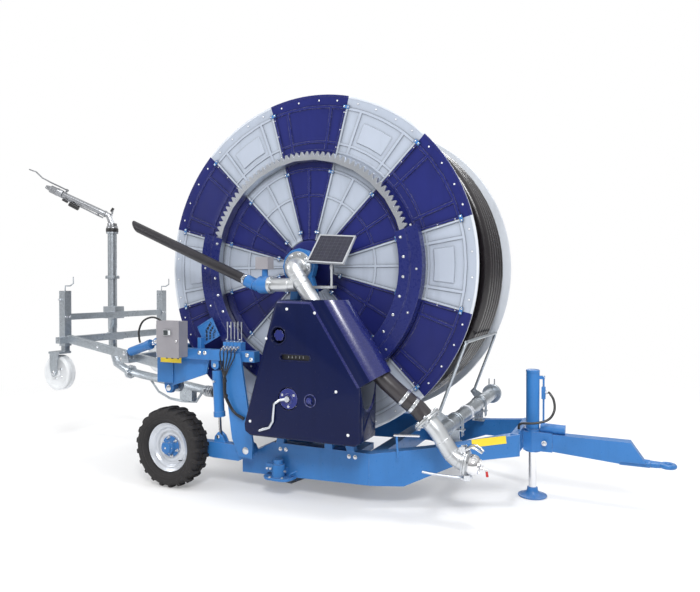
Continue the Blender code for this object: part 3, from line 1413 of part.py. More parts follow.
def bail_lug(side):
    """Side plate from the crossover pipe to the bail's foot."""
    foot = bail_line()[0]
    centre = Vector((CROSS_X, 0, CROSS_Z))
    way = (foot - centre).normalized()
    across = Vector((way.z, 0, -way.x))
    near = centre + way * 0.040
    end = foot + way * 0.030
    corners = [near - across * 0.050, end - across * 0.026, end + across * 0.026, near + across * 0.050]
    y = side * (BAIL_HALF + BAIL_R + GAP)
    return side_plate([(p.x, p.z) for p in corners], y, y + side * BAIL_LUG_THICK)


# Hose guide

def hose_guide():
    """Carriage on the rear bar with a fork round the lead."""
    y = LEAD_Y
    half = HOSE_R + 0.020
    block = box((GUIDE_X - GUIDE_HALF, GUIDE_X + GUIDE_HALF), (y - 0.110, y + 0.110),
                (GUIDE_TOP - GUIDE_HIGH, GUIDE_TOP))
    shapes = [block]
    low = lead_height_at(GUIDE_X) - 0.100
    for side in (-1, 1):
        shapes.append(rod((GUIDE_X - 0.030, y + side * half, GUIDE_TOP - 0.115),
                          (GUIDE_X - 0.030, y + side * half, low - 0.006), 0.015, 8))
    shapes.append(box((GUIDE_X - 0.050, GUIDE_X - 0.010), (y - half - 0.016, y + half + 0.016),
                      (low - 0.012, low)))
    guide = union(*shapes)
    slot = box((GUIDE_X - GUIDE_BAR / 2 - RUN, GUIDE_X + GUIDE_BAR / 2 + RUN), (y - 0.2, y + 0.2),
               (GUIDE_BAR_Z[0] - RUN, GUIDE_BAR_Z[1] + RUN))
    return cut(guide, slot)


def lead_height_at(x):
    """Height of the straight lead's centre line at X."""
    start = lead_start()
    touch = lead_tangent()[0]
    return start[1] + (touch[1] - start[1]) * (x - start[0]) / (touch[0] - start[0])


# Lift arm and gun cart

def lift_arm():
    """Frame of two rails and two cross tubes, with the lift ram's lug."""
    shapes = []
    for side in (-1, 1):
        y = side * LIFT_RAIL_Y
        drop = side_plate([(-1.620, 1.100), (-1.480, 1.100)] + arc((LIFT_X, LIFT_Z), 0.060, 0, -180, 4),
                          y - side * 0.025, y + side * 0.025)
        rail = bar((-1.480, y, 1.075), (CART_X + 0.080, y, 1.335), 0.060, 0.085)
        shapes += [drop, rail]
    front = CART_X + CART_LEG / 2 + GAP
    shapes.append(box((front, front + 0.070), (-0.960, 0.960), (1.290, 1.360)))
    shapes.append(box((-2.120, -2.050), (-LIFT_RAIL_Y, LIFT_RAIL_Y), (1.140, 1.200)))
    x, z = RAM_A
    for off in (-LIFT_CHEEK_OFF, LIFT_CHEEK_OFF):
        y0, y1 = LIFT_RAM_Y + off - CHEEK_THICK / 2, LIFT_RAM_Y + off + CHEEK_THICK / 2
        outline = [(x - 0.050, 1.130), (x + 0.060, 1.130)] + arc((x, z), 0.036, 0, 180, 4)
        shapes.append(side_plate(outline, y0, y1))
    shapes.append(box((x - 0.045, x + 0.055), (-0.966, -0.830), (1.125, 1.165)))
    frame_shape = union(*shapes)
    for side in (-1, 1):
        bore = rod((LIFT_X, side * 0.70, LIFT_Z), (LIFT_X, side * 0.90, LIFT_Z),
                   bore_radius(LIFT_PIN_R, 10), 10)
        frame_shape = cut(frame_shape, bore)
    return dissolved(frame_shape)


def cart_frame():
    """Leg sleeves, beams, riser, water pipe, coupling and skid of the cart."""
    shapes = []
    half = CART_LEG / 2
    top = 1.880
    for side in (-1, 1):
        y = side * CART_LEG_Y
        sleeve = box((CART_X - half, CART_X + half), (y - half, y + half), (1.250, top))
        crank = tube(smooth_path([(CART_X, y, top - 0.02), (CART_X, y, top + 0.05),
                                  (CART_X + 0.02, y, top + 0.055),
                                  (CART_X + 0.12, y, top + 0.058), (CART_X + 0.13, y, top + 0.07),
                                  (CART_X + 0.13, y, top + 0.16)], 5), 0.008, 0)
        shapes += [sleeve, crank]
    beam = box((CART_X - 0.035, CART_X + 0.035), (-CART_LEG_Y, CART_LEG_Y), (1.545, 1.615))
    lower = box((CART_X - 0.034, CART_X + 0.034), (-CART_LEG_Y, CART_LEG_Y), (1.272, 1.342))
    clamp = box((RISER_X - 0.080, CART_X + 0.030), (-0.075, 0.075), (1.530, 1.680))
    low_clamp = box((RISER_X - 0.030, CART_X + 0.030), (-0.065, 0.065), (1.262, 1.352))
    shapes += [beam, lower, clamp, low_clamp]
    start = lead_start()
    way = lead_way()
    seat = Vector((start[0], LEAD_Y, start[1]))
    run = tube(smooth_path([
        (RISER_X, 0, 1.600), (RISER_X, 0, 1.250), (RISER_X + 0.020, 0, 1.080), (RISER_X + 0.110, 0, 0.925),
        (RISER_X + 0.300, 0, 0.866), (-2.400, LEAD_Y * 0.5, 0.795), (COUPLING_X, LEAD_Y, COUPLING_Z),
        seat - way * 0.020], 11), CART_PIPE_R, 2)
    riser = turned([
        (0, 1.400), (RISER_R, 1.400), (RISER_R, 2.030), (0.085, 2.030), (0.085, 2.062), (RISER_R, 2.062),
        (RISER_R, RISER_TOP - 0.020), (0.072, RISER_TOP - 0.020), (0.072, RISER_TOP), (0, RISER_TOP)],
        10, (RISER_X, 0, 0), (RISER_X, 0, 1))
    joint_a = Vector((RISER_X + 0.300, 0, 0.866))
    flange = rod(joint_a + Vector((-0.020, 0, 0.003)), joint_a + Vector((0.020, 0, -0.003)), 0.085, 10)
    skid = tube(smooth_path([
        (-2.620, LEAD_Y * 0.5, 0.790), (-2.480, LEAD_Y * 0.5, 0.640), (-2.300, LEAD_Y * 0.5, 0.575),
        (-2.000, LEAD_Y * 0.7, 0.560), (-1.840, LEAD_Y * 0.8, 0.600),
        (-1.820, LEAD_Y * 0.8, 0.700)], 6), 0.016, 0)
    foot = box((-2.140, -1.960), (LEAD_Y - 0.030, LEAD_Y + 0.060), (0.575, 0.720))
    band = rod(seat - way * 0.120, seat, 0.060, 12)
    shapes += [riser, run, flange, skid, foot, band]
    frame_shape = union(*shapes)
    for side in (-1, 1):
        y = side * CART_LEG_Y
        hollow = half - 0.012
        frame_shape = cut(frame_shape, box((CART_X - hollow, CART_X + hollow), (y - hollow, y + hollow),
                                           (1.200, top - 0.030)))
    return frame_shape


def cart_leg(side):
    """Inner tube with the wheel bracket and its stub axle."""
    y = side * CART_LEG_Y
    half = CART_LEG / 2 - 0.012 - RUN
    post = box((CART_X - half, CART_X + half), (y - half, y + half), (1.170, 1.640))
    shelf_y = sorted((y - side * half, y + side * 0.130))
    shelf = box((CART_X - 0.120, CART_X + half + 0.02), shelf_y, (1.165, 1.190))
    plate_y = y + side * 0.118
    bracket = side_plate([(CART_X - 0.110, 1.180), (CART_X + 0.030, 1.180), (CART_X - 0.010, 0.960)]
                         + arc((CART_X - 0.050, CART_WHEEL_Z), 0.040, 0, -180, 5)
                         + [(CART_X - 0.110, 1.000)], plate_y - 0.006, plate_y + 0.006)
    axle = rod((CART_X - 0.050, plate_y, CART_WHEEL_Z),
               (CART_X - 0.050, y - side * 0.020, CART_WHEEL_Z), 0.016, 12)
    return union(post, shelf, bracket, axle)


def cart_wheel(side):
    """Wide moulded wheel with a rubber-edged tread."""
    y = side * CART_LEG_Y
    centre = (CART_X - 0.050, y + side * 0.035, CART_WHEEL_Z)
    outer = (CART_X - 0.050, y + side * 1.0, CART_WHEEL_Z)
    half = CART_WHEEL_WIDE / 2
    rows = [(0.016 + RUN, -half + 0.020), (0.155, -half + 0.020), (0.172, -half),
            (CART_WHEEL_R, -half + 0.010),
            (CART_WHEEL_R, half - 0.010), (0.172, half), (0.155, half - 0.014), (0.016 + RUN, half - 0.014)]
    return turned(rows, 12, centre, outer)


def gun():
    """Swivel head, elbow and barrel with its nozzle, turned to one side."""
    base = turned([
        (0, RISER_TOP + GAP), (0.070, RISER_TOP + GAP), (0.070, RISER_TOP + 0.060), (0.058, RISER_TOP + 0.070),
        (0.058, RISER_TOP + 0.110), (0, RISER_TOP + 0.110)], 12, (RISER_X, 0, 0), (RISER_X, 0, 1))
    rise = math.radians(GUN_RISE)
    z0 = RISER_TOP + 0.190
    way = Vector((-math.cos(rise), 0, math.sin(rise)))
    bend = Vector((RISER_X, 0, z0))
    barrel = tube(smooth_path([
        Vector((RISER_X, 0, RISER_TOP + 0.090)), bend + Vector((0.004, 0, -0.030)), bend + way * 0.060,
        bend + way * 0.300, bend + way * (GUN_LONG - 0.100)], 7), 0.036)
    taper = rod(bend + way * (GUN_LONG - 0.130), bend + way * GUN_LONG, 0.030, 10, 0.020)
    nozzle = rod(bend + way * (GUN_LONG - 0.160), bend + way * (GUN_LONG - 0.060), 0.046, 10)
    lower = Vector((0, 0, -0.070))
    rail = rod(bend + way * 0.120 + lower * 0.9, bend + way * (GUN_LONG - 0.12) + lower * 0.6, 0.010, 5)
    tie = rod(bend + way * 0.180, bend + way * 0.190 + lower, 0.012, 6)
    pivot = drive_pivot()
    post = rod(pivot - drive_up() * 0.058, pivot - drive_up() * 0.0142, 0.013, 6)
    knob = rod((RISER_X - 0.020, 0, z0 - 0.030), (RISER_X + 0.015, 0, z0 + 0.110), 0.012, 6)
    shape = union(base, barrel, taper, nozzle, rail, tie, knob, post)
    spin = Matrix.Translation((RISER_X, 0, 0)) @ Matrix.Rotation(math.radians(GUN_AZIMUTH), 4, "Z") \
        @ Matrix.Translation((-RISER_X, 0, 0))
    shape.data.transform(spin)
    return shape


def drive_up():
    """The way square to the barrel, upwards, before the gun is turned."""
    rise = math.radians(GUN_RISE)
    return Vector((math.sin(rise), 0, math.cos(rise)))


def drive_pivot():
    """Pivot of the drive arm above the barrel, before the gun is turned."""
    rise = math.radians(GUN_RISE)
    way = Vector((-math.cos(rise), 0, math.sin(rise)))
    return Vector((RISER_X, 0, RISER_TOP + 0.190)) + way * (GUN_LONG - 0.240) + drive_up() * 0.070


def gun_axis():
    """Pivot of the drive arm and its direction, at the gun's own azimuth."""
    turn = Matrix.Rotation(math.radians(GUN_AZIMUTH), 3, "Z")
    centre = Vector((RISER_X, 0, 0))
    return centre + turn @ (drive_pivot() - centre), turn @ Vector((0, 1, 0))


def gun_drive_arm():
    """Slow-moving drive arm with its spoon in front of the nozzle."""
    rise = math.radians(GUN_RISE)
    way = Vector((-math.cos(rise), 0, math.sin(rise)))
    pivot = drive_pivot()
    hub = rod(pivot - Vector((0, 0.030, 0)), pivot + Vector((0, 0.030, 0)), 0.014, 12)
    tip = pivot + way * 0.400 + Vector((0, 0, 0.050))
    arm = tube(smooth_path([pivot, pivot + way * 0.150 + Vector((0, 0, 0.004)),
                            pivot + way * 0.300 + Vector((0, 0, 0.006)), tip], 5), 0.009, 0)
    spoon = bar(tip - way * 0.010, tip + way * 0.080 + Vector((0, 0, -0.010)), 0.050, 0.012)
    shape = union(hub, arm, spoon)
    spin = Matrix.Translation((RISER_X, 0, 0)) @ Matrix.Rotation(math.radians(GUN_AZIMUTH), 4, "Z") \
        @ Matrix.Translation((-RISER_X, 0, 0))
    shape.data.transform(spin)
    return shape


# Hoses

def hose_lead():
    """Taut stretch of the big hose from the cart coupling to the drum."""
    start = lead_start()
    touch = lead_tangent()[0]
    way = lead_way()
    first = Vector((start[0], LEAD_Y, start[1])) + way * GAP
    last = Vector((touch[0], LEAD_Y, touch[1])) - way * (2 * HOSE_R + GAP)
    return tube([first.lerp(last, k / 4) for k in range(5)], HOSE_R)


def free_hose(route, radius, count):
    """Hydraulic hose along its own points, straight where it is seated."""
    return tube(seated_path(route, count), radius, 1)


def valve_hoses():
    """Five hoses from the valve block, tied together and led inside."""
    shapes = []
    waist = Vector((-0.700, -1.100, 1.060))
    for i, x in enumerate(lever_places()):
        spread = (i - 2) * 0.018
        port = Vector((x, -RAIL_Y - 0.085, 1.340))
        way = PORT_WAY
        route = [
            port + way * GAP, port + way * 0.020, (x, -RAIL_Y - 0.115, 1.270),
            (waist.x + spread, waist.y, waist.z + 0.040), (waist.x + spread, waist.y, waist.z - 0.030)]
        shapes.append(tube(seated_path(route, 5), 0.0085, 0))
    tie = box((waist.x - 0.048, waist.x + 0.048), (waist.y - 0.012, waist.y + 0.012),
              (waist.z - 0.034, waist.z + 0.020))
    tail = tube(smooth_path([
        (waist.x, waist.y, waist.z - 0.020), (waist.x + 0.010, waist.y, 0.900), (waist.x + 0.090, -1.085, 0.760),
        (-0.500, -1.080, 0.700)], 6), 0.016, 0)
    shapes += [tie, tail]
    return union(*shapes)


# Assembly

def build_drum():
    drum = "drum"
    joint(drum, (0, 0, DRUM_Z))
    part(flange_panels(False), "rear_flange", "blue_paint", drum)
    pressed = flange_panels(True)
    part(mirrored(pressed), "front_flange", "blue_paint", drum)
    bpy.data.objects.remove(pressed, do_unlink=True)
    part(ring_gear(), "ring_gear", "zinc", drum)
    part(drum_core(), "drum_core", "hose_black", drum)
    points = wound_points()
    print("least gap of the wound hose to itself, mm:", round(least_self_gap(points, HOSE_R) * 1000, 3))
    part(tube(points, HOSE_R, 1), "hose_winding", "hose_black", drum)
    joint("pinion", (0, -GEAR_Y, pinion_place()))
    part(drive_pinion(), "drive_pinion", "zinc", "pinion")


def build_chassis():
    part(chassis_frame(), "chassis_frame", "blue_paint")
    stand = drum_stand(STAND_FACE, True)
    part(mirrored(stand), "drum_stand_front", "blue_paint")
    bpy.data.objects.remove(stand, do_unlink=True)
    part(drum_stand(REAR_FACE, False), "drum_stand_rear", "blue_paint")
    part(ring_guard(), "ring_guard", "navy_paint")
    part(slew_motor(), "slew_motor", "blue_paint")
    joint("slew", (SLEW_X, 0, 0))
    part(slew_base(), "slew_base", "galvanised", "slew")


def build_hood():
    part(hood(), "hood", "navy_paint")
    part(gearbox(), "gearbox", "blue_paint")
    joint("crank", (CRANK_X, -HOOD_FRONT, CRANK_Z))
    part(crank_handle(), "crank_handle", "zinc", "crank")
    joint("selector", (KNOB_X, -HOOD_FRONT, KNOB_Z))
    part(selector_knob(), "selector_knob", "navy_paint", "selector")


def build_wheels():
    for side, name in ((-1, "near"), (1, "far")):
        arm = "arm_" + name
        joint(arm, (PIVOT_X, side * RAIL_Y, PIVOT_Z))
        part(wheel_arm(side), "wheel_arm_" + name, "blue_paint", arm)
        wheel = "wheel_" + name
        joint(wheel, wheel_centre(side), arm)
        part(tyre(side), "tyre_" + name, "tyre_black", wheel)
        part(wheel_rim(side), "wheel_rim_" + name, "rim_silver", wheel)
        barrel, rod_part = ram_pair((RAM_TOP_X, RAM_TOP_Z), (LUG_X, LUG_Z), side * RAIL_Y,
                                    RAM_R, RAM_ROD_R, 0.72, 0.034, CHEEK_OFF)
        ram = "ram_" + name
        joint(ram, (RAM_TOP_X, side * RAIL_Y, RAM_TOP_Z))
        part(barrel, "arm_cylinder_" + name, "blue_paint", ram)
        joint("rod_" + name, (LUG_X, side * RAIL_Y, LUG_Z), ram)
        part(rod_part, "arm_rod_" + name, "chrome", "rod_" + name)


def build_drawbar():
    part(drawbar(), "drawbar", "blue_paint")
    joint("jack", (JACK_X, 0, 0))
    part(jack_leg(), "jack_leg", "chrome", "jack")
    joint("hitch", (DRAW_END_X, 0, HITCH_Z))
    part(hitch_ring(), "hitch_ring", "blue_paint", "hitch")


def build_inlet():
    part(inlet_pipe(), "inlet_pipe", "zinc")
    part(supply_hose(), "supply_hose", "hose_black")
    part(inlet_manifold(), "inlet_manifold", "galvanised")
    joint("lever", (1.552, -MANIFOLD_Y, LEVER_Z))
    part(coupling_lever(), "coupling_lever", "zinc", "lever")
    part(bypass_valve(), "bypass_valve", "blue_paint")
    part(discharge_pipe(), "discharge_pipe", "hose_black")
    part(solar_panel(), "solar_panel", "panel_dark")
    joint("bail", bail_line()[0])
    part(winding_bail(), "winding_bail", "galvanised", "bail")


def build_rear():
    part(control_box(), "control_box", "box_grey")
    joint("door", (BOX_X[0] - 0.004, BOX_FRONT, BOX_Z[0]))
    part(control_door(), "control_door", "box_grey", "door")
    part(valve_block(), "valve_block", "blue_paint")
    for i, x in enumerate(lever_places()):
        name = "valve_lever_" + str(i + 1)
        joint("valve_" + str(i + 1), (x, -RAIL_Y, STUD_TOP))
        part(valve_lever(x), name, "zinc", "valve_" + str(i + 1))
    joint("guide", (GUIDE_X, LEAD_Y, GUIDE_BAR_Z[0]))
    part(hose_guide(), "hose_guide", "blue_paint", "guide")


def build_cart():
    lift = "lift"
    joint(lift, (LIFT_X, 0, LIFT_Z))
    part(lift_arm(), "lift_arm", "galvanised", lift)
    part(cart_frame(), "cart_frame", "galvanised", lift)
    barrel, rod_part = ram_pair(RAM_A, RAM_B, LIFT_RAM_Y, 0.047, 0.022, 0.76, 0.030, LIFT_CHEEK_OFF)
    joint("lift_ram", (RAM_A[0], LIFT_RAM_Y, RAM_A[1]), lift)
    part(barrel, "lift_cylinder", "blue_paint", "lift_ram")
    joint("lift_eye", (RAM_B[0], LIFT_RAM_Y, RAM_B[1]), "lift_ram")
    part(rod_part, "lift_rod", "chrome", "lift_eye")
    for side, name in ((-1, "near"), (1, "far")):
        joint("leg_" + name, (CART_X, side * CART_LEG_Y, CART_WHEEL_Z), lift)
        part(cart_leg(side), "cart_leg_" + name, "galvanised", "leg_" + name)
        joint("cart_spin_" + name, (CART_X - 0.050, side * CART_LEG_Y, CART_WHEEL_Z), "leg_" + name)
        part(cart_wheel(side), "cart_wheel_" + name, "wheel_white", "cart_spin_" + name)
    joint("gun_swivel", (RISER_X, 0, RISER_TOP), lift)
    part(gun(), "gun", "gun_alloy", "gun_swivel")
    joint("drive_arm", gun_axis()[0], "gun_swivel")
    part(gun_drive_arm(), "gun_drive_arm", "gun_alloy", "drive_arm")


def build_hoses():
    part(hose_lead(), "hose_lead", "hose_black")
    part(free_hose(JACK_HOSE, 0.011, 11), "jack_hose", "hose_black")
    part(free_hose(LIFT_HOSE, 0.010, 12), "lift_hose", "hose_black")
    part(valve_hoses(), "valve_hoses", "hose_black")


build_drum()
build_chassis()
build_hood()
build_wheels()
build_drawbar()
build_inlet()
build_rear()
build_cart()
build_hoses()
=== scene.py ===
"""Looks of the hose reel irrigator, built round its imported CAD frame."""

import json
import math

import bmesh
import bpy
import numpy as np
from mathutils import Matrix, Vector


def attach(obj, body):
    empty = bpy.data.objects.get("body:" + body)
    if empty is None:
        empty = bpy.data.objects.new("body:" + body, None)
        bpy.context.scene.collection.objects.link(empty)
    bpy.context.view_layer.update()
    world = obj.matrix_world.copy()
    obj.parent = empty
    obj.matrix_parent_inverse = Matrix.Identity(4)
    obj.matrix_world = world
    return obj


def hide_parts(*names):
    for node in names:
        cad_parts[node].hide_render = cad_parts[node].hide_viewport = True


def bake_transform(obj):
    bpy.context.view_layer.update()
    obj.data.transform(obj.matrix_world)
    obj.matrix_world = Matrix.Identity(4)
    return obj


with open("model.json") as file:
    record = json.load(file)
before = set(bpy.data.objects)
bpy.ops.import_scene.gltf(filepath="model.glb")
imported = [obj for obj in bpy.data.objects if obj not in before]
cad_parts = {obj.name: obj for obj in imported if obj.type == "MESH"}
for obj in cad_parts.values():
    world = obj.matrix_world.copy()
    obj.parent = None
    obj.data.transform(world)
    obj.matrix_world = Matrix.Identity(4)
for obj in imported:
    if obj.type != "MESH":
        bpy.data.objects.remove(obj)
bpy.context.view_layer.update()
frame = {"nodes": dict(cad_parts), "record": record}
NODES = frame["nodes"]
BODY_OF = {n: body for body, names in frame["record"]["behaviour"]["bodies"].items() for n in names}

DRUM_Z = 2.107
# Edges sharper than these angles stay sharp
SMOOTH = math.radians(47)
CRISP = math.radians(40)


# Materials

class Graph:
    """A material's node tree, with short calls for the nodes in use."""

    def __init__(self, name):
        self.material = bpy.data.materials.new(name)
        self.material.use_nodes = True
        self.tree = self.material.node_tree
        self.shader = self.tree.nodes["Principled BSDF"]
        self.coord = self.add("ShaderNodeTexCoord").outputs["Object"]

    def add(self, kind, **settings):
        node = self.tree.nodes.new(kind)
        for key, value in settings.items():
            setattr(node, key, value)
        return node

    def put(self, socket, value):
        """Links a socket, or writes a constant on the input itself."""
        if isinstance(value, bpy.types.NodeSocket):
            self.tree.links.new(value, socket)
        elif isinstance(value, tuple) and len(value) == 3 and socket.type == "RGBA":
            socket.default_value = (*value, 1.0)
        else:
            socket.default_value = value

    def stretched(self, scale, source=None):
        node = self.add("ShaderNodeMapping")
        self.put(node.inputs["Vector"], source or self.coord)
        node.inputs["Scale"].default_value = scale
        return node.outputs["Vector"]

    def noise(self, scale, detail=3.0, vector=None, rough=0.55):
        node = self.add("ShaderNodeTexNoise")
        self.put(node.inputs["Vector"], vector or self.coord)
        node.inputs["Scale"].default_value = scale
        node.inputs["Detail"].default_value = detail
        node.inputs["Roughness"].default_value = rough
        return node.outputs["Fac"]

    def cells(self, scale, vector=None, feature="F1"):
        node = self.add("ShaderNodeTexVoronoi", feature=feature)
        self.put(node.inputs["Vector"], vector or self.coord)
        node.inputs["Scale"].default_value = scale
        return node

    def span(self, value, low, high, to_low=0.0, to_high=1.0):
        node = self.add("ShaderNodeMapRange")
        self.put(node.inputs["Value"], value)
        for key, number in (("From Min", low), ("From Max", high), ("To Min", to_low), ("To Max", to_high)):
            node.inputs[key].default_value = number
        return node.outputs["Result"]

    def math(self, kind, a, b=0.0):
        node = self.add("ShaderNodeMath", operation=kind)
        self.put(node.inputs[0], a)
        self.put(node.inputs[1], b)
        return node.outputs[0]

    def mix(self, share, a, b, blend="MIX"):
        node = self.add("ShaderNodeMix", data_type="RGBA", blend_type=blend)
        self.put(node.inputs[0], share)
        self.put(node.inputs[6], a)
        self.put(node.inputs[7], b)
        return node.outputs[2]

    def bump(self, height, strength, distance, after=None):
        node = self.add("ShaderNodeBump")
        node.inputs["Strength"].default_value = strength
        node.inputs["Distance"].default_value = distance
        self.put(node.inputs["Height"], height)
        if after is not None:
            self.put(node.inputs["Normal"], after)
        return node.outputs["Normal"]

    def upward(self):
        """1 on faces that look up, 0 on the others."""
        geometry = self.add("ShaderNodeNewGeometry")
        parts = self.add("ShaderNodeSeparateXYZ")
        self.put(parts.inputs[0], geometry.outputs["Normal"])
        return self.span(parts.outputs["Z"], 0.35, 0.95)

    def edges(self, width=0.007):
        """Rises towards sharp edges."""
        rounded = self.add("ShaderNodeBevel", samples=3)
        rounded.inputs["Radius"].default_value = width
        geometry = self.add("ShaderNodeNewGeometry")
        alike = self.add("ShaderNodeVectorMath", operation="DOT_PRODUCT")
        self.put(alike.inputs[0], rounded.outputs[0])
        self.put(alike.inputs[1], geometry.outputs["Normal"])
        return self.span(alike.outputs["Value"], 0.985, 0.86)

    def surface(self, **values):
        names = {"colour": "Base Color", "rough": "Roughness", "metal": "Metallic", "normal": "Normal",
                 "coat": "Coat Weight", "coat_rough": "Coat Roughness", "specular": "Specular IOR Level",
                 "glow": "Emission Color", "glow_strength": "Emission Strength"}
        for key, value in values.items():
            self.put(self.shader.inputs[names[key]], value)
        return self.material


def shade(rgb, factor):
    return tuple(min(1.0, c * factor) for c in rgb)


DUST = (0.46, 0.45, 0.44)


def paint(name, rgb, rough=0.30, coat=0.06, dust=0.22, metal=0.0, wear_and_highlight=0.5, mottle=0.14, ripple=0.10,
          specular=0.30, painted_crevice_shade=0.0):
    """Sprayed paint: mottled colour, orange peel, dust on top, edges lightened as rubbed paint and as a painted
    highlight, and painted shade in hollows when asked.
    """
    g = Graph(name)
    broad = g.noise(1.7, 4.0)
    fine = g.noise(34.0, 5.0, rough=0.7)
    colour = g.mix(g.span(broad, 0.3, 0.7), shade(rgb, 1 - mottle), shade(rgb, 1 + mottle))
    streak = g.noise(9.0, 3.0, g.stretched((1.0, 1.0, 0.12)))
    colour = g.mix(g.span(streak, 0.52, 0.72, 0.0, 0.35), colour, shade(rgb, 0.72))
    # Edge lightening: partly rubbed paint, partly a painted highlight along the edges.
    rubbed_and_highlit = g.math("MULTIPLY", g.edges(), g.span(fine, 0.40, 0.62, 0.0, wear_and_highlight))
    colour = g.mix(rubbed_and_highlit, colour, tuple(0.35 + 0.5 * c for c in rgb))
    # Painted shade: the colour darkens where ambient occlusion finds hollows and creases.
    if painted_crevice_shade:
        painted_hollow_shade = g.add("ShaderNodeAmbientOcclusion", samples=6)
        painted_hollow_shade.inputs["Distance"].default_value = 0.045
        colour = g.mix(g.span(painted_hollow_shade.outputs["AO"], 0.98, 0.60, 0.0, painted_crevice_shade), colour, shade(rgb, 0.30))
    settled = g.math("MULTIPLY", g.upward(), g.span(fine, 0.35, 0.75, 0.0, dust))
    colour = g.mix(settled, colour, DUST)
    roughness = g.math("ADD", g.span(fine, 0.3, 0.7, rough - 0.05, rough + 0.09), g.math("MULTIPLY", settled, 0.5))
    peel = g.bump(g.noise(420.0, 2.0), ripple, 0.0006)
    wave = g.bump(g.noise(5.0, 2.0), 0.10, 0.006, peel)
    return g.surface(colour=colour, rough=roughness, metal=metal, coat=coat, coat_rough=0.12, normal=wave,
                     specular=specular)


def galvanised(name, rgb=(0.56, 0.59, 0.62), rough=0.36, metal=0.82, spangle=70.0):
    """Hot-dip zinc: crystals of slightly different grey, runs and dull patches, and a painted highlight that
    brightens the edges.
    """
    g = Graph(name)
    crystals = g.cells(spangle)
    grey = g.add("ShaderNodeSeparateColor")
    g.put(grey.inputs[0], crystals.outputs["Color"])
    tint = g.span(grey.outputs[0], 0.0, 1.0, 0.0, 1.0)
    colour = g.mix(tint, shade(rgb, 0.89), shade(rgb, 1.10))
    dull = g.noise(3.2, 5.0, g.stretched((1.0, 1.0, 0.35)), 0.65)
    colour = g.mix(g.span(dull, 0.48, 0.74, 0.0, 0.55), colour, shade(rgb, 0.66))
    # Painted highlight: edges brightened as if they catch the light.
    bright = g.math("MULTIPLY", g.edges(), 0.6)
    colour = g.mix(bright, colour, shade(rgb, 1.4))
    roughness = g.math("ADD", g.span(grey.outputs[1], 0.0, 1.0, rough - 0.07, rough + 0.07),
                       g.span(dull, 0.4, 0.8, 0.0, 0.12))
    normal = g.bump(g.noise(90.0, 4.0), 0.16, 0.0012)
    return g.surface(colour=colour, rough=roughness, metal=metal, normal=normal)


def bare_metal(name, rgb, rough=0.22, metal=1.0, grain=(1.0, 1.0, 1.0), tarnish=0.25):
    """Machined or plated metal with fine grain and faint tarnish."""
    g = Graph(name)
    haze = g.noise(11.0, 4.0)
    lines = g.noise(260.0, 2.0, g.stretched(grain))
    colour = g.mix(g.span(haze, 0.45, 0.75, 0.0, tarnish), rgb, shade(rgb, 0.62))
    roughness = g.math("ADD", g.span(lines, 0.3, 0.7, rough - 0.05, rough + 0.06), g.span(haze, 0.4, 0.8, 0.0, 0.08))
    normal = g.bump(lines, 0.05, 0.0004)
    return g.surface(colour=colour, rough=roughness, metal=metal, normal=normal)


def rubber(name, rgb=(0.012, 0.011, 0.013), rough=0.34, dust=0.10, coat=0.0, grain=220.0):
    """Black hose or moulded rubber with a soft sheen and dusty patches."""
    g = Graph(name)
    patch = g.noise(6.0, 5.0, rough=0.6)
    colour = g.mix(g.span(patch, 0.45, 0.75, 0.0, 0.7), rgb, shade(rgb, 2.4))
    settled = g.math("MULTIPLY", g.upward(), g.span(patch, 0.35, 0.7, 0.0, dust))
    colour = g.mix(settled, colour, DUST)
    roughness = g.math("ADD", g.span(g.noise(40.0, 4.0), 0.3, 0.7, rough - 0.07, rough + 0.10),
                       g.math("MULTIPLY", settled, 0.8))
    normal = g.bump(g.noise(grain, 3.0), 0.12, 0.0008)
    return g.surface(colour=colour, rough=roughness, coat=coat, coat_rough=0.2, normal=normal)


def glossy_hose(name, rgb, rough=0.22, coat=0.25):
    """Smooth polyethylene hose: even black with long worn streaks."""
    g = Graph(name)
    patch = g.noise(2.4, 4.0)
    colour = g.mix(g.span(patch, 0.42, 0.70, 0.0, 0.6), rgb, shade(rgb, 1.8))
    fine = g.noise(7.0, 3.0)
    colour = g.mix(g.span(fine, 0.55, 0.80, 0.0, 0.10), colour, (0.12, 0.115, 0.12))
    roughness = g.span(patch, 0.3, 0.7, rough, rough + 0.10)
    normal = g.bump(g.noise(9.0, 2.0), 0.05, 0.004)
    return g.surface(colour=colour, rough=roughness, coat=coat, coat_rough=0.16, normal=normal)


def cast_metal(name, rgb, rough=0.34, metal=0.8):
    """Smooth satin metal with faint clouds, a fine brushed sheen and a painted highlight that lightens the edges."""
    g = Graph(name)
    cloud = g.noise(4.5, 4.0)
    fine = g.noise(60.0, 3.0)
    colour = g.mix(g.span(cloud, 0.35, 0.68), shade(rgb, 0.86), shade(rgb, 1.08))
    # Painted highlight: edges lightened as if they catch the light.
    colour = g.mix(g.math("MULTIPLY", g.edges(), 0.5), colour, shade(rgb, 1.35))
    stain = g.noise(10.0, 5.0, rough=0.7)
    colour = g.mix(g.span(stain, 0.62, 0.80, 0.0, 0.35), colour, shade(rgb, 0.55))
    roughness = g.math("ADD", g.span(cloud, 0.3, 0.7, rough - 0.05, rough + 0.07), g.span(fine, 0.3, 0.7, 0.0, 0.04))
    return g.surface(colour=colour, rough=roughness, metal=metal, normal=g.bump(fine, 0.05, 0.0006))


def tyre_rubber(name):
    """Matt tread rubber, greyer where it meets the ground."""
    g = Graph(name)
    patch = g.noise(14.0, 6.0, rough=0.7)
    colour = g.mix(g.span(patch, 0.35, 0.7), (0.009, 0.008, 0.009), (0.022, 0.020, 0.021))
    scuffed = g.math("MULTIPLY", g.edges(), g.span(patch, 0.35, 0.65, 0.2, 0.8))
    colour = g.mix(scuffed, colour, (0.060, 0.056, 0.056))
    roughness = g.span(patch, 0.3, 0.7, 0.62, 0.85)
    normal = g.bump(g.noise(160.0, 4.0), 0.25, 0.0012)
    return g.surface(colour=colour, rough=roughness, normal=normal)


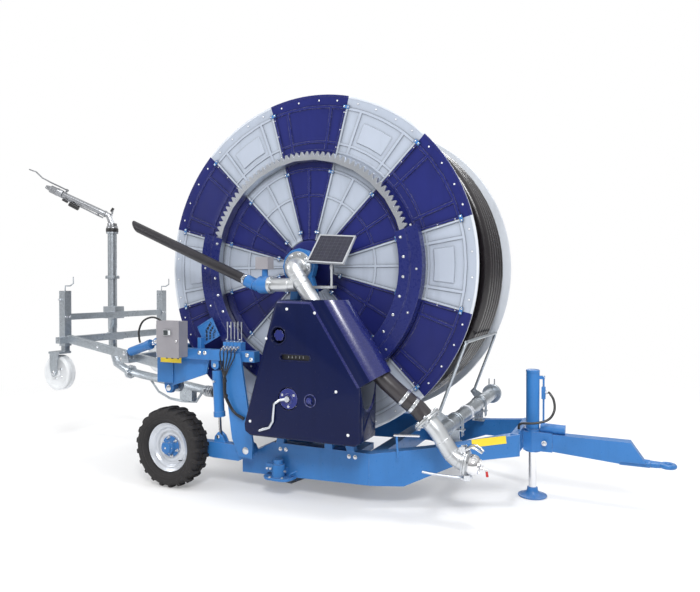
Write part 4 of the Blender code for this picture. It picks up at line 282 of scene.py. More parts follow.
def plastic(name, rgb, rough=0.45, grain=600.0, mottle=0.08, dust=0.12):
    """Moulded plastic or powder coat with a fine grain."""
    g = Graph(name)
    patch = g.noise(5.0, 4.0)
    colour = g.mix(g.span(patch, 0.3, 0.7), shade(rgb, 1 - mottle), shade(rgb, 1 + mottle))
    settled = g.math("MULTIPLY", g.upward(), g.span(g.noise(30.0, 4.0), 0.4, 0.7, 0.0, dust))
    colour = g.mix(settled, colour, shade(DUST, 0.8))
    roughness = g.span(g.noise(60.0, 3.0), 0.3, 0.7, rough - 0.06, rough + 0.08)
    normal = g.bump(g.noise(grain, 2.0), 0.22, 0.0005)
    return g.surface(colour=colour, rough=roughness, normal=normal)


def solar_cells(name):
    """Dark cells with thin silver lines under glass, in the panel's own plane."""
    g = Graph(name)
    brick = g.add("ShaderNodeTexBrick", offset=0.0, squash=1.0)
    g.put(brick.inputs["Vector"], g.add("ShaderNodeUVMap").outputs[0])
    brick.inputs["Scale"].default_value = 1.0
    brick.inputs["Brick Width"].default_value = 0.125
    brick.inputs["Row Height"].default_value = 0.125
    brick.inputs["Mortar Size"].default_value = 0.0022
    brick.inputs["Color1"].default_value = (0.012, 0.013, 0.026, 1)
    brick.inputs["Color2"].default_value = (0.015, 0.015, 0.032, 1)
    brick.inputs["Mortar"].default_value = (0.060, 0.065, 0.085, 1)
    haze = g.noise(12.0, 4.0)
    colour = g.mix(g.span(haze, 0.4, 0.8, 0.0, 0.12), brick.outputs["Color"], (0.10, 0.10, 0.12))
    return g.surface(colour=colour, rough=g.span(haze, 0.3, 0.7, 0.14, 0.26), coat=0.2, coat_rough=0.06,
                     specular=0.35)


def lit_display(name):
    """A small dark display with faint bands, no characters."""
    g = Graph(name)
    bands = g.noise(60.0, 1.0, g.stretched((0.2, 1.0, 2.0)))
    colour = g.mix(g.span(bands, 0.45, 0.60), (0.012, 0.016, 0.020), (0.05, 0.065, 0.07))
    return g.surface(colour=colour, rough=g.span(bands, 0.3, 0.7, 0.08, 0.16), coat=0.5, coat_rough=0.05)


LIGHT_BLUE = (0.036, 0.172, 0.455)
NAVY = (0.014, 0.019, 0.135)
SILVER = (0.445, 0.495, 0.585)

M = {
    "blue": paint("blue_paint", LIGHT_BLUE),
    # The panel paints darken their grooves and hollows as painted shade.
    "navy_panel": paint("navy_panel", NAVY, rough=0.33, dust=0.03, specular=0.24, wear_and_highlight=0.6, painted_crevice_shade=0.8),
    "silver_panel": paint("silver_panel", SILVER, rough=0.36, metal=0.20, dust=0.0, mottle=0.05, wear_and_highlight=0.8,
                          painted_crevice_shade=0.9),
    # Two copies of the hood's navy: a darker one for the shaded front as painted shade, and a lighter, glossier one
    # for the up-facing curved faces as a painted highlight.
    "hood": paint("hood_shaded_paint", (0.0050, 0.009, 0.048), rough=0.20, coat=0.04, dust=0.0, specular=0.12, wear_and_highlight=0.2,
                  mottle=0.06, ripple=0.03),
    "shroud_lit": paint("shroud_paint", (0.010, 0.014, 0.105), rough=0.24, coat=0.45, dust=0.0, specular=0.5, wear_and_highlight=0.2,
                    mottle=0.05, ripple=0.02),
    "dial": paint("dial_blue", (0.009, 0.017, 0.150), rough=0.20, coat=0.2, dust=0.03, specular=0.3, wear_and_highlight=0.8),
    # A lighter copy of the silver paint: painted light for the rims and the rear flange, which face away from the
    # lamps.
    "rear_silver": paint("rear_silver", (0.640, 0.680, 0.740), rough=0.36, metal=0.10, dust=0.0, mottle=0.05,
                         wear_and_highlight=0.6),
    "guard": paint("guard_paint", (0.014, 0.020, 0.125), rough=0.27, dust=0.0, specular=0.28, wear_and_highlight=0.25, mottle=0.05,
                   ripple=0.03),
    "galvanised": galvanised("galvanised", (0.44, 0.48, 0.52), rough=0.33, metal=0.85),
    "bright_zinc": cast_metal("bright_zinc", (0.60, 0.62, 0.64), rough=0.30),
    "zinc": bare_metal("zinc", (0.62, 0.65, 0.70), rough=0.30, tarnish=0.35),
    "steel": bare_metal("steel", (0.60, 0.60, 0.60), rough=0.25),
    "chrome": bare_metal("chrome", (0.82, 0.82, 0.83), rough=0.10, tarnish=0.10),
    "bolt": bare_metal("bolt_zinc", (0.66, 0.68, 0.71), rough=0.24),
    "rivet": plastic("white_rivet", (0.74, 0.76, 0.80), rough=0.35, dust=0.0),
    "hose": glossy_hose("wound_hose", (0.010, 0.008, 0.010)),
    "supply": glossy_hose("supply_hose", (0.022, 0.019, 0.022), rough=0.26, coat=0.2),
    "small_hose": rubber("hydraulic_hose", (0.012, 0.012, 0.013), rough=0.30),
    "pipe_black": glossy_hose("discharge_black", (0.010, 0.009, 0.013), rough=0.34, coat=0.05),
    "tyre": tyre_rubber("tyre_rubber"),
    "rim": cast_metal("rim_silver", (0.60, 0.63, 0.68), rough=0.30, metal=0.5),
    "box": plastic("box_grey", (0.270, 0.262, 0.285), rough=0.42),
    "white": plastic("wheel_white", (0.72, 0.74, 0.76), rough=0.42),
    "black": plastic("black_plastic", (0.018, 0.018, 0.020), rough=0.40),
    "red": plastic("red_plastic", (0.50, 0.022, 0.020), rough=0.38),
    "yellow": plastic("yellow_strip", (0.82, 0.62, 0.030), rough=0.35, dust=0.05),
    "cells": solar_cells("solar_cells"),
    "display": lit_display("display"),
    "frame_grey": bare_metal("frame_grey", (0.55, 0.57, 0.60), rough=0.38, metal=0.6),
    "alloy": cast_metal("gun_alloy", (0.34, 0.35, 0.37), rough=0.30, metal=0.85),
    "core": rubber("core_black", (0.02, 0.02, 0.02), rough=0.6),
}


# Shapes: each is (points, faces)

def joined(shapes):
    points, faces, count = [], [], 0
    for some, loops in shapes:
        points.extend(some)
        faces.extend([i + count for i in loop] for loop in loops)
        count += len(some)
    return points, faces


def ring_faces(rings, n):
    """Quads between rings of n points each, one ring after the other."""
    return [(i * n + j, i * n + (j + 1) % n, (i + 1) * n + (j + 1) % n, (i + 1) * n + j)
            for i in range(rings - 1) for j in range(n)]


def axes_of(way, lean=(0, 0, 1)):
    """Two directions across a third one."""
    way = Vector(way).normalized()
    lean = Vector(lean)
    if abs(way.dot(lean)) > 0.97:
        lean = Vector((1, 0, 0))
    side = way.cross(lean).normalized()
    return way, side, side.cross(way).normalized()


def block(x, y, z, place=None):
    corners = [Vector((a, b, c)) for a in x for b in y for c in z]
    if place is not None:
        corners = [place @ p for p in corners]
    loops = [(0, 1, 3, 2), (4, 6, 7, 5), (0, 4, 5, 1), (2, 3, 7, 6), (0, 2, 6, 4), (1, 5, 7, 3)]
    return corners, loops


def turned(profile, steps, start, end, closed=False, sweep=None, first=0.0):
    """Revolves (radius, height) pairs about the line from start to end."""
    start = Vector(start)
    way, side, up = axes_of(Vector(end) - start)
    whole = sweep is None
    rings = steps if whole else steps + 1
    angles = [first + (2 * math.pi if whole else sweep) * i / steps for i in range(rings)]
    points = [start + way * h + (side * math.cos(a) + up * math.sin(a)) * r for a in angles for r, h in profile]
    n = len(profile)
    faces = []
    for i in range(steps):
        k = (i + 1) % rings
        for j in range(n if closed else n - 1):
            m = (j + 1) % n
            faces.append((i * n + j, k * n + j, k * n + m, i * n + m))
    if closed and not whole:
        faces.append(tuple(range(n)))
        faces.append(tuple(steps * n + j for j in reversed(range(n))))
    return points, faces


def swept(path, radius, sides=16):
    """A round tube on a path; radius is a number or one for each point."""
    path = [Vector(p) for p in path]
    radii = radius if isinstance(radius, (list, tuple)) else [radius] * len(path)
    ways = []
    for i in range(len(path)):
        ways.append((path[min(i + 1, len(path) - 1)] - path[max(i - 1, 0)]).normalized())
    side = axes_of(ways[0])[1]
    points = []
    for i, (here, way) in enumerate(zip(path, ways)):
        side = (side - way * side.dot(way)).normalized()
        up = way.cross(side)
        for k in range(sides):
            a = 2 * math.pi * k / sides
            points.append(here + (side * math.cos(a) + up * math.sin(a)) * radii[i])
    faces = ring_faces(len(path), sides)
    faces.append(tuple(reversed(range(sides))))
    faces.append(tuple((len(path) - 1) * sides + k for k in range(sides)))
    return points, faces


def rod(start, end, radius, sides=20, end_radius=None):
    return swept([start, end], [radius, radius if end_radius is None else end_radius], sides)


def slab(outline, thick, place=None):
    """A flat outline in local X and Y, from 0 to thick along local Z."""
    place = place or Matrix()
    n = len(outline)
    points = [place @ Vector((a, b, h)) for h in (0, thick) for a, b in outline]
    faces = [tuple(reversed(range(n))), tuple(range(n, 2 * n))]
    faces += [(i, (i + 1) % n, n + (i + 1) % n, n + i) for i in range(n)]
    return points, faces


def hexagon(at, way, across, high, washer=True):
    """A hexagon head on its washer."""
    at = Vector(at)
    way, side, up = axes_of(way)
    shapes = []
    base = at
    if washer:
        shapes.append(turned([(0, 0), (across * 0.78, 0), (across * 0.80, high * 0.12),
                              (across * 0.76, high * 0.22), (0, high * 0.22)], 16, at, at + way))
        base = at + way * high * 0.20
    rows = [(0.0, 0.577), (high * 0.66, 0.577), (high * 0.80, 0.48)]
    points = []
    for h, r in rows:
        for k in range(6):
            a = math.pi * k / 3
            points.append(base + way * h + (side * math.cos(a) + up * math.sin(a)) * across * r)
    faces = ring_faces(3, 6) + [(12, 13, 14, 15, 16, 17), (5, 4, 3, 2, 1, 0)]
    shapes.append((points, faces))
    return joined(shapes)


def dome(at, way, radius, high, sides=14):
    """A round rivet head."""
    at = Vector(at)
    rows = [(radius, 0.0), (radius * 0.96, high * 0.35), (radius * 0.80, high * 0.68),
            (radius * 0.52, high * 0.92), (radius * 0.20, high)]
    points, faces = turned(rows, sides, at, at + Vector(way))
    n = len(rows)
    faces.append(tuple(k * n + n - 1 for k in range(sides)))
    faces.append(tuple(k * n for k in reversed(range(sides))))
    return points, faces


def arc(centre, radius, start, end, count):
    angles = np.radians(np.linspace(start, end, count))
    return [(centre[0] + radius * math.cos(a), centre[1] + radius * math.sin(a)) for a in angles]


def smooth_path(points, count):
    """Even points on a Catmull-Rom curve through the given ones."""
    ctrl = [Vector(p) for p in points]
    ctrl = [2 * ctrl[0] - ctrl[1]] + ctrl + [2 * ctrl[-1] - ctrl[-2]]
    fine = []
    for i in range(1, len(ctrl) - 2):
        p0, p1, p2, p3 = ctrl[i - 1:i + 3]
        for k in range(24):
            t = k / 24
            fine.append(0.5 * ((2 * p1) + (p2 - p0) * t + (2 * p0 - 5 * p1 + 4 * p2 - p3) * t * t
                               + (3 * p1 - p0 - 3 * p2 + p3) * t ** 3))
    fine.append(ctrl[-2])
    runs = np.cumsum([0.0] + [(b - a).length for a, b in zip(fine, fine[1:])])
    wanted = np.linspace(0, runs[-1], count)
    return [Vector(p) for p in zip(*[np.interp(wanted, runs, [p[k] for p in fine]) for k in range(3)])]


def upright(y):
    """Local X and Y become X and Z at one value of Y; local Z runs along +Y."""
    return Matrix(((1, 0, 0, 0), (0, 0, 1, y), (0, 1, 0, 0), (0, 0, 0, 1)))


def on_drum(radius, degrees, y):
    a = math.radians(degrees)
    return Vector((radius * math.cos(a), y, DRUM_Z + radius * math.sin(a)))


# Pieces

def added(name, data):
    obj = bpy.data.objects.new(name, data)
    bpy.context.scene.collection.objects.link(obj)
    return obj


def finished(name, mesh, material, body, nodes=(), bevel=0.0, segments=2, angle=SMOOTH):
    obj = added(name, mesh)
    for one in material if isinstance(material, list) else [material]:
        mesh.materials.append(M[one])
    mesh.shade_smooth()
    mesh.set_sharp_from_angle(angle=angle)
    if bevel:
        mod = obj.modifiers.new("edge", "BEVEL")
        mod.width = bevel
        mod.segments = segments
        mod.limit_method = "ANGLE"
        mod.angle_limit = angle
        mod.harden_normals = True
        mod.use_clamp_overlap = True
    if isinstance(body, tuple):
        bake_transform(obj)
    else:
        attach(obj, body)
    if nodes:
        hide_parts(*nodes)
    return obj


def piece(name, shapes, material, body, nodes=(), bevel=0.0, segments=2, angle=SMOOTH, finishes=None):
    """One object from shapes; finishes gives a material index for each shape."""
    points, faces = joined(shapes)
    mesh = bpy.data.meshes.new(name)
    mesh.from_pydata([tuple(p) for p in points], [], faces)
    if finishes:
        index = [f for (_, loops), f in zip(shapes, finishes) for _ in loops]
        mesh.polygons.foreach_set("material_index", index)
    bm = bmesh.new()
    bm.from_mesh(mesh)
    bmesh.ops.recalc_face_normals(bm, faces=bm.faces)
    bm.to_mesh(mesh)
    bm.free()
    mesh.update()
    return finished(name, mesh, material, body, nodes, bevel, segments, angle)


def hardware(name, shapes, body="chassis", bevel=0.0):
    """Bolts, nuts, pins and clamps."""
    return piece(name, shapes, "bolt", body, bevel=bevel)


def refined(node, material, bevel=0.003, segments=2, angle=SMOOTH, name=None):
    """A piece with the node's own form, its flat faces whole again and its
    edges rounded."""
    bm = bmesh.new()
    bm.from_mesh(NODES[node].data)
    bmesh.ops.remove_doubles(bm, verts=bm.verts, dist=0.00002)
    bmesh.ops.dissolve_limit(bm, angle_limit=math.radians(0.8), verts=bm.verts, edges=bm.edges)
    mesh = bpy.data.meshes.new(name or node + "_skin")
    bm.to_mesh(mesh)
    bm.free()
    mesh.materials.clear()
    return finished(name or node + "_skin", mesh, material, BODY_OF[node], (node,), bevel, segments, angle)


# Drum

FLANGE_IN = 0.720
SHEET_Y = 0.732
RAISED_Y = 0.746
FLANGE_R = 1.600
SECTORS = 12
SECTOR_TURN = 30.0
CLIP_Y = -0.7462
NAVY_MIDDLES = (90, 30, -30, -90, 210, 150)


def near_to(value, marks, half, ramp):
    """1 within half of a mark, falling to 0 over ramp."""
    gap = min(abs(value - m) for m in marks) - half
    return min(1.0, max(0.0, 1.0 - gap / ramp))


def panel_columns(radius):
    """Angles of the grid lines across a sector at a radius, in radians."""
    edge, rib, boss = math.radians(15), math.radians(9), math.radians(6.6)

    def off(metres, most):
        return min(metres / radius, math.radians(most))

    half = [0.0, off(0.010, 0.9), off(0.014, 1.4), boss - math.radians(0.35), boss,
            rib - off(0.015, 1.0), rib - off(0.011, 0.7), rib + off(0.011, 0.7), rib + off(0.015, 1.0),
            edge - off(0.022, 2.2), edge - off(0.018, 1.8), edge - off(0.003, 0.5), edge]
    return [-a for a in reversed(half[1:])] + half


PANEL_ROWS = [0.250, 0.262, 0.266, 0.300, 0.304, 0.480, 0.660, 0.664, 0.680, 0.684, 0.800, 0.905, 0.909, 0.925,
              0.929, 0.980, 1.062, 1.078, 1.082, 1.096, 1.100, 1.155, 1.159, 1.175, 1.179, 1.214, 1.220, 1.300,
              1.392, 1.398, 1.420, 1.424, 1.474, 1.478, 1.498, 1.502, 1.560, 1.582]


def panel_height(radius, column, columns, silver):
    """How far a grid point stands out from the sheet."""
    last = len(columns) - 1
    middle = last // 2
    i = abs(column - middle)
    if radius < 0.95:
        arc_rib = near_to(radius, (0.264, 0.672, 0.917), 0.009, 0.004)
        line = 1.0 if i <= 1 and 0.300 <= radius <= 0.909 else 0.0
    elif radius < 1.06:
        arc_rib, line = 0.55, 0.0
    else:
        arc_rib = near_to(radius, (1.089, 1.167), 0.009, 0.004)
        line = 1.0 if i in (6, 7) and 1.096 <= radius <= 1.478 else 0.0
        arc_rib = max(arc_rib, near_to(radius, (1.488,), 0.011, 0.004), 1.0 if radius > 1.502 else 0.0)
    rise = 0.0095 * max(arc_rib, line)
    if silver and i <= 3 and 1.219 <= radius <= 1.393:
        rise = 0.0085
    if i in (10, 11) and 0.262 <= radius <= 1.478:
        rise = RAISED_Y - SHEET_Y - 0.0005
    if i == 12 and 0.26 < radius <= 1.478:
        rise = min(rise, 0.006)
    return rise


def turn_from_navy(degrees):
    """The angle from the middle of the nearest navy sector."""
    return min(abs((degrees - middle + 180) % 360 - 180) for middle in NAVY_MIDDLES)


def flange_front():
    """Pressed sheet panels of the near flange, navy and silver by turns."""
    points, faces, index = [], [], []
    width = len(panel_columns(FLANGE_R))
    for s in range(SECTORS):
        middle = SECTOR_TURN * s
        silver = turn_from_navy(middle) >= 1
        base = len(points)
        for radius in PANEL_ROWS:
            columns = panel_columns(radius)
            for j, angle in enumerate(columns):
                y = -(SHEET_Y + panel_height(radius, j, columns, silver))
                points.append(on_drum(radius, middle + math.degrees(angle), y))
        for i in range(len(PANEL_ROWS) - 1):
            for j in range(width - 1):
                a = base + i * width + j
                faces.append((a, a + 1, a + width + 1, a + width))
                index.append(1 if silver else 0)
    return points, faces, index


def flange_rim(side):
    """The rolled rim and the back of a flange, as a closed turned band."""
    y0, y1, y2 = side * FLANGE_IN, side * SHEET_Y, side * RAISED_Y
    back = y1 + 0.005 if side < 0 else y1
    rows = [(1.578, y1 + side * 0.009), (1.582, y2 - side * 0.001), (1.590, y2), (1.597, y2 - side * 0.001),
            (FLANGE_R, y2 - side * 0.006), (FLANGE_R, y0 + side * 0.004), (1.597, y0), (0.094, y0),
            (0.094, back), (1.578, back)]
    return turned(rows, 144, (0, 0, DRUM_Z), (0, 1, DRUM_Z), closed=True)


def spoke(degrees):
    """Local X runs out from the drum's axis at this angle."""
    return Matrix.Translation((0, 0, DRUM_Z)) @ Matrix.Rotation(-math.radians(degrees), 4, "Y")


def build_front_panels():
    points, faces, index = flange_front()
    mesh = bpy.data.meshes.new("front_panels")
    mesh.from_pydata([tuple(p) for p in points], [], faces)
    mesh.polygons.foreach_set("material_index", index)
    bm = bmesh.new()
    bm.from_mesh(mesh)
    bmesh.ops.remove_doubles(bm, verts=bm.verts, dist=0.0001)
    bmesh.ops.recalc_face_normals(bm, faces=bm.faces)
    if sum(f.normal.y for f in bm.faces) > 0:
        bmesh.ops.reverse_faces(bm, faces=bm.faces)
    bm.to_mesh(mesh)
    bm.free()
    mesh.update()
    finished("front_panels", mesh, ["navy_panel", "silver_panel"], "drum", ("front_flange",),
             angle=math.radians(25))


def build_front_trim():
    hub = turned([(0.094, -0.740), (0.094, -0.746), (0.236, -0.746), (0.244, -0.7445), (0.252, -0.738)], 96,
                 (0, 0, DRUM_Z), (0, 1, DRUM_Z))
    rim = piece("front_rim", [flange_rim(-1), hub], ["rear_silver", "navy_panel"], "drum",
                angle=CRISP, finishes=(0, 1))
    for face in rim.data.polygons:
        turn = math.degrees(math.atan2(face.center.z - DRUM_Z, face.center.x))
        if face.material_index == 0 and face.normal.y < -0.5 and turn_from_navy(turn) < SECTOR_TURN / 2:
            face.material_index = 1
    rivets = []
    for s in range(SECTORS):
        for off in (-11.0, -4.0, 4.0, 11.0):
            rivets.append(dome(on_drum(1.546, 30 * s + off, -0.7412), (0, -1, 0), 0.0085, 0.0048, 10))
        for radius in (1.13, 1.29, 1.45):
            for off in (-0.30, 0.30):
                angle = 30 * s + 15 + math.degrees(off * 0.030 / radius)
                rivets.append(dome(on_drum(radius, angle, -0.7455), (0, -1, 0), 0.0050, 0.0030, 8))
    piece("front_rivets", rivets, "rivet", "drum")
    clips, nuts = [], []
    for s in range(SECTORS):
        turn = spoke(30 * s + 15)
        for radius, long in ((1.500, 0.060), (0.905, 0.050), (0.335, 0.040)):
            clips.append(block((radius - 0.014, radius + 0.014), (CLIP_Y - 0.004, CLIP_Y), (-long / 2, long / 2),
                               turn))
            for off in (-0.3, 0.3):
                centre = turn @ Vector((radius, CLIP_Y - 0.004, off * long))
                nuts.append(hexagon(centre, (0, -1, 0), 0.012, 0.006))
    piece("seam_clips", clips, "blue", "drum", bevel=0.001)
    piece("seam_nuts", nuts, "bolt", "drum")


def build_rear_flange():
    rib_y = 0.741
    seams = []
    for i in range(SECTORS):
        seams.append(block((0.254, 1.572), (SHEET_Y, RAISED_Y), (-0.015, 0.015), spoke(30 * i + 15)))
        for length in ((0.300, 1.060), (1.100, 1.480)):
            seams.append(block(length, (SHEET_Y, rib_y), (-0.010, 0.010), spoke(30 * i)))
    rear = []
    for radius in (0.672, 1.089, 1.488):
        rear.append(turned([(radius - 0.016, SHEET_Y), (radius - 0.010, rib_y), (radius + 0.010, rib_y),
                            (radius + 0.016, SHEET_Y)], 120, (0, 0, DRUM_Z), (0, 1, DRUM_Z)))
    rear.append(flange_rim(1))
    # The skin takes the brightened silver copy: painted light in place of the light this side lacks.
    piece("rear_flange_skin", rear + seams, "rear_silver", "drum", ("rear_flange",),
          bevel=0.0015, angle=CRISP)
    piece("rear_rivets", [dome(on_drum(1.546, 15 * i + 4, 0.7325), (0, 1, 0), 0.009, 0.006, 10) for i in range(24)],
          "rivet", "drum")


HOSE_R = 0.055
PITCH = 0.1106
LAYER_STEP = 0.1123
OUTER_R = 1.495
WALL = 0.6645
ROWS = 6
LEAD_Y = WALL - ROWS * PITCH
LEAD_START = (-1.660, 0.703)


def lead_angle():
    dx, dz = LEAD_START[0], LEAD_START[1] - DRUM_Z
    return math.atan2(dz, dx) + math.acos(OUTER_R / math.hypot(dx, dz))


def lead_line():
    """The free hose's start at the cart, its touch on the winding, its way."""
    angle = lead_angle()
    touch = Vector((OUTER_R * math.cos(angle), LEAD_Y, DRUM_Z + OUTER_R * math.sin(angle)))
    start = Vector((LEAD_START[0], LEAD_Y, LEAD_START[1]))
    return start, touch, (touch - start).normalized()


def stepped(turns):
    whole = math.floor(turns)
    return whole + min(1.0, (turns - whole) * 2)


def winding_path(per_turn):
    """The route of the wound hose, as the CAD solid has it, with finer steps."""
    angle0 = lead_angle()
    total = 2 * ROWS + 1.5
    near_end = -WALL + PITCH * ROWS
    points = []
    for i in range(round(total * per_turn) + 1):
        turns = i / per_turn
        angle = angle0 + 2 * math.pi * (total - turns)
        gone = turns - ROWS
        if gone <= 0:
            radius, y = OUTER_R - LAYER_STEP, -WALL + PITCH * stepped(turns)
        elif gone <= 1.0:
            radius, y = OUTER_R - LAYER_STEP, near_end + (WALL - near_end) * gone
        elif gone <= 1.5:
            share = (gone - 1.0) * 2
            radius, y = OUTER_R - LAYER_STEP * (1 - share * share * (3 - 2 * share)), WALL
        else:
            radius, y = OUTER_R, WALL - PITCH * stepped(gone - 1.5)
        points.append(Vector((radius * math.cos(angle), y, DRUM_Z + radius * math.sin(angle))))
    way = Vector((math.sin(angle0), 0, -math.cos(angle0)))
    points.append(points[-1] + way * 2 * HOSE_R)
    return points


def build_drum():
    build_front_panels()
    build_front_trim()
    build_rear_flange()
    piece("wound_hose", [swept(winding_path(72), HOSE_R, 18)], "hose", "drum", ("hose_winding",))
    refined("drum_core", "core", bevel=0.004)
    refined("ring_gear", "zinc", bevel=0.0012, segments=1)
    refined("drive_pinion", "zinc", bevel=0.001, segments=1)


# Guard, stands, hood

GUARD_IN = 0.940
GUARD_OUT = 1.150
GUARD_FACE = -0.8705
GUARD_SHEET = 0.006


def guard_band(first, last):
    """A stretch of the channel between two angles of the drum's own circle."""
    face, sheet = GUARD_FACE, GUARD_SHEET
    rows = [(GUARD_IN, face + 0.0015), (0.9415, face), (1.030, face), (1.036, face), (1.0395, face + 0.004),
            (1.0465, face + 0.004), (1.050, face), (1.1485, face), (GUARD_OUT, face + 0.0015),
            (GUARD_OUT, face + 0.100),
            (1.144, face + 0.100), (1.144, face + sheet + 0.002), (1.142, face + sheet), (1.052, face + sheet),
            (1.0485, face + sheet + 0.003), (1.0375, face + sheet + 0.003), (1.034, face + sheet),
            (GUARD_IN, face + sheet)]
    steps = max(2, round(abs(last - first) / 1.5))
    points, faces = [], []
    n = len(rows)
    for i in range(steps + 1):
        angle = first + (last - first) * i / steps
        points += [on_drum(r, angle, y) for r, y in rows]
    for i in range(steps):
        for j in range(n):
            m = (j + 1) % n
            faces.append((i * n + j, (i + 1) * n + j, (i + 1) * n + m, i * n + m))
    faces.append(tuple(range(n)))
    faces.append(tuple(steps * n + j for j in reversed(range(n))))
    return points, faces


def build_guard():
    window = 7.0
    piece("ring_guard_skin", [guard_band(17.5, -90 + window), guard_band(-90 - window, -197.5)], "guard", "chassis",
          ("ring_guard",), angle=math.radians(35))
    heads = []
    for i in range(22):
        angle = 14.0 - 208.0 * i / 21
        if abs(angle + 90) < window + 1:
            continue
        heads.append(hexagon(on_drum(0.985, angle, GUARD_FACE), (0, -1, 0), 0.017, 0.009))
        if i % 2 == 0:
            heads.append(hexagon(on_drum(1.100, angle + 4, GUARD_FACE), (0, -1, 0), 0.014, 0.008))
    piece("guard_bolts", heads, "bolt", "chassis")


def build_stands():
    for node in ("drum_stand_front", "drum_stand_rear"):
        refined(node, "blue", bevel=0.004)
    refined("gearbox", "steel", bevel=0.004, name="gearbox_skin")


def build_hood():
    hood = refined("hood", ["hood", "shroud_lit"], bevel=0.004, segments=3)
    # Up-facing faces on the right take the lighter copy of the hood paint: a painted highlight on the curved shroud.
    for face in hood.data.polygons:
        if face.normal.y > -0.985 and face.normal.z > 0.05 and face.center.x > 0.15:
            face.material_index = 1
    refined("crank_handle", "zinc", bevel=0.002)
    refined("selector_knob", "dial", bevel=0.003)


# Camera, light and floor

# For the camera, the floor turns to plain white between these distances from the middle
FADE_START, FADE_END = 4.8, 8.5
# Strength of the world at the horizon and overhead, for all rays but the camera's
SKY_LOW, SKY_HIGH = 0.30, 0.95
# Name, place, aim, size and power
LAMPS = (
    ("key", (3.8, -7.4, 7.2), (0, 0, 1.4), 2.6, 520), ("fill", (-8.0, -5.0, 5.5), (0, 0, 1.6), 4.0, 170),
    ("back", (-1.0, 8.0, 7.0), (0, 0, 1.6), 5.0, 260), ("top", (2.5, -0.8, 8.5), (0.6, -1.2, 1.3), 1.4, 190))
LENS = 31.506
CAMERA_PLACE = (2.757, -5.800, 1.908)
LOOK_DOWN, LOOK_LEFT = 0.717, 24.765


def build_stage():
    g = Graph("studio_floor")
    noise = g.noise(0.8, 3.0)
    colour = g.mix(noise, (0.88, 0.88, 0.885), (0.91, 0.91, 0.912))
    g.surface(colour=colour, rough=0.75, specular=0.15, normal=g.bump(g.noise(60.0, 3.0), 0.05, 0.002))
    path = g.add("ShaderNodeLightPath")
    seen = path.outputs["Is Camera Ray"]
    glow = g.add("ShaderNodeEmission")
    glow.inputs["Strength"].default_value = 1.0
    distance = g.add("ShaderNodeVectorMath", operation="LENGTH")
    g.put(distance.inputs[0], g.coord)
    far = g.span(distance.outputs["Value"], FADE_START, FADE_END, 0.26, 1.0)
    mixer = g.add("ShaderNodeMixShader")
    g.put(mixer.inputs[0], g.math("MULTIPLY", seen, far))
    g.put(mixer.inputs[1], g.shader.outputs[0])
    g.put(mixer.inputs[2], glow.outputs[0])
    g.put(g.tree.nodes["Material Output"].inputs["Surface"], mixer.outputs[0])
    bm = bmesh.new()
    bmesh.ops.create_grid(bm, x_segments=24, y_segments=24, size=60.0)
    bmesh.ops.translate(bm, vec=(0, 0, -0.0005), verts=bm.verts)
    mesh = bpy.data.meshes.new("floor")
    bm.to_mesh(mesh)
    bm.free()
    floor = added("studio_floor", mesh)
    mesh.materials.append(g.material)


def build_light():
    world = bpy.data.worlds.new("studio")
    bpy.context.scene.world = world
    world.use_nodes = True
    tree = world.node_tree
    back = tree.nodes["Background"]
    path = tree.nodes.new("ShaderNodeLightPath")
    direction = tree.nodes.new("ShaderNodeTexCoord")
    parts = tree.nodes.new("ShaderNodeSeparateXYZ")
    tree.links.new(direction.outputs["Generated"], parts.inputs[0])
    sky = tree.nodes.new("ShaderNodeMapRange")
    sky.interpolation_type = "SMOOTHSTEP"
    for key, value in (("From Min", 0.0), ("From Max", 0.85), ("To Min", SKY_LOW), ("To Max", SKY_HIGH)):
        sky.inputs[key].default_value = value
    tree.links.new(parts.outputs["Z"], sky.inputs["Value"])
    level = tree.nodes.new("ShaderNodeMapRange")
    level.inputs["To Max"].default_value = 1.0
    tree.links.new(sky.outputs["Result"], level.inputs["To Min"])
    tree.links.new(path.outputs["Is Camera Ray"], level.inputs["Value"])
    tree.links.new(level.outputs["Result"], back.inputs["Strength"])
    back.inputs["Color"].default_value = (1.0, 1.0, 1.0, 1.0)
    for name, place, aim, size, power in LAMPS:
        lamp = bpy.data.lights.new(name, "AREA")
        lamp.shape = "DISK"
        lamp.size = size
        lamp.energy = power
        holder = added(name, lamp)
        holder.location = place
        holder.rotation_euler = (Vector(aim) - Vector(place)).to_track_quat("-Z", "Y").to_euler()


def build_camera():
    data = bpy.data.cameras.new("camera")
    data.lens = LENS
    data.sensor_width = 36.0
    data.clip_end = 300.0
    camera = added("camera", data)
    camera.location = CAMERA_PLACE
    camera.rotation_euler = (math.radians(90 - LOOK_DOWN), 0, math.radians(LOOK_LEFT))
    bpy.context.scene.camera = camera


PLAIN = {
    "chassis_frame": ("blue", "blue_paint"), "slew_base": ("galvanised", "galvanised"),
    "slew_motor": ("blue", "blue_paint"), "control_box": ("box", "box_grey"), "control_door": ("box", "box_grey"),
    "valve_block": ("blue", "blue_paint"), "drawbar": ("blue", "blue_paint"), "hose_guide": ("blue", "blue_paint"),
    "wheel_arm_near": ("blue", "blue_paint"), "wheel_arm_far": ("blue", "blue_paint"),
    "arm_cylinder_near": ("blue", "blue_paint"), "arm_cylinder_far": ("blue", "blue_paint"),
    "arm_rod_near": ("chrome", "chrome"), "arm_rod_far": ("chrome", "chrome"),
    "coupling_lever": ("zinc", "zinc"), "lift_arm": ("galvanised", "galvanised"),
    "cart_frame": ("galvanised", "galvanised"),
    "lift_cylinder": ("blue", "blue_paint"), "lift_rod": ("chrome", "chrome"),
    "cart_leg_near": ("galvanised", "galvanised"), "cart_leg_far": ("galvanised", "galvanised"),
    "gun": ("alloy", "gun_alloy"), "gun_drive_arm": ("alloy", "gun_alloy"),
}


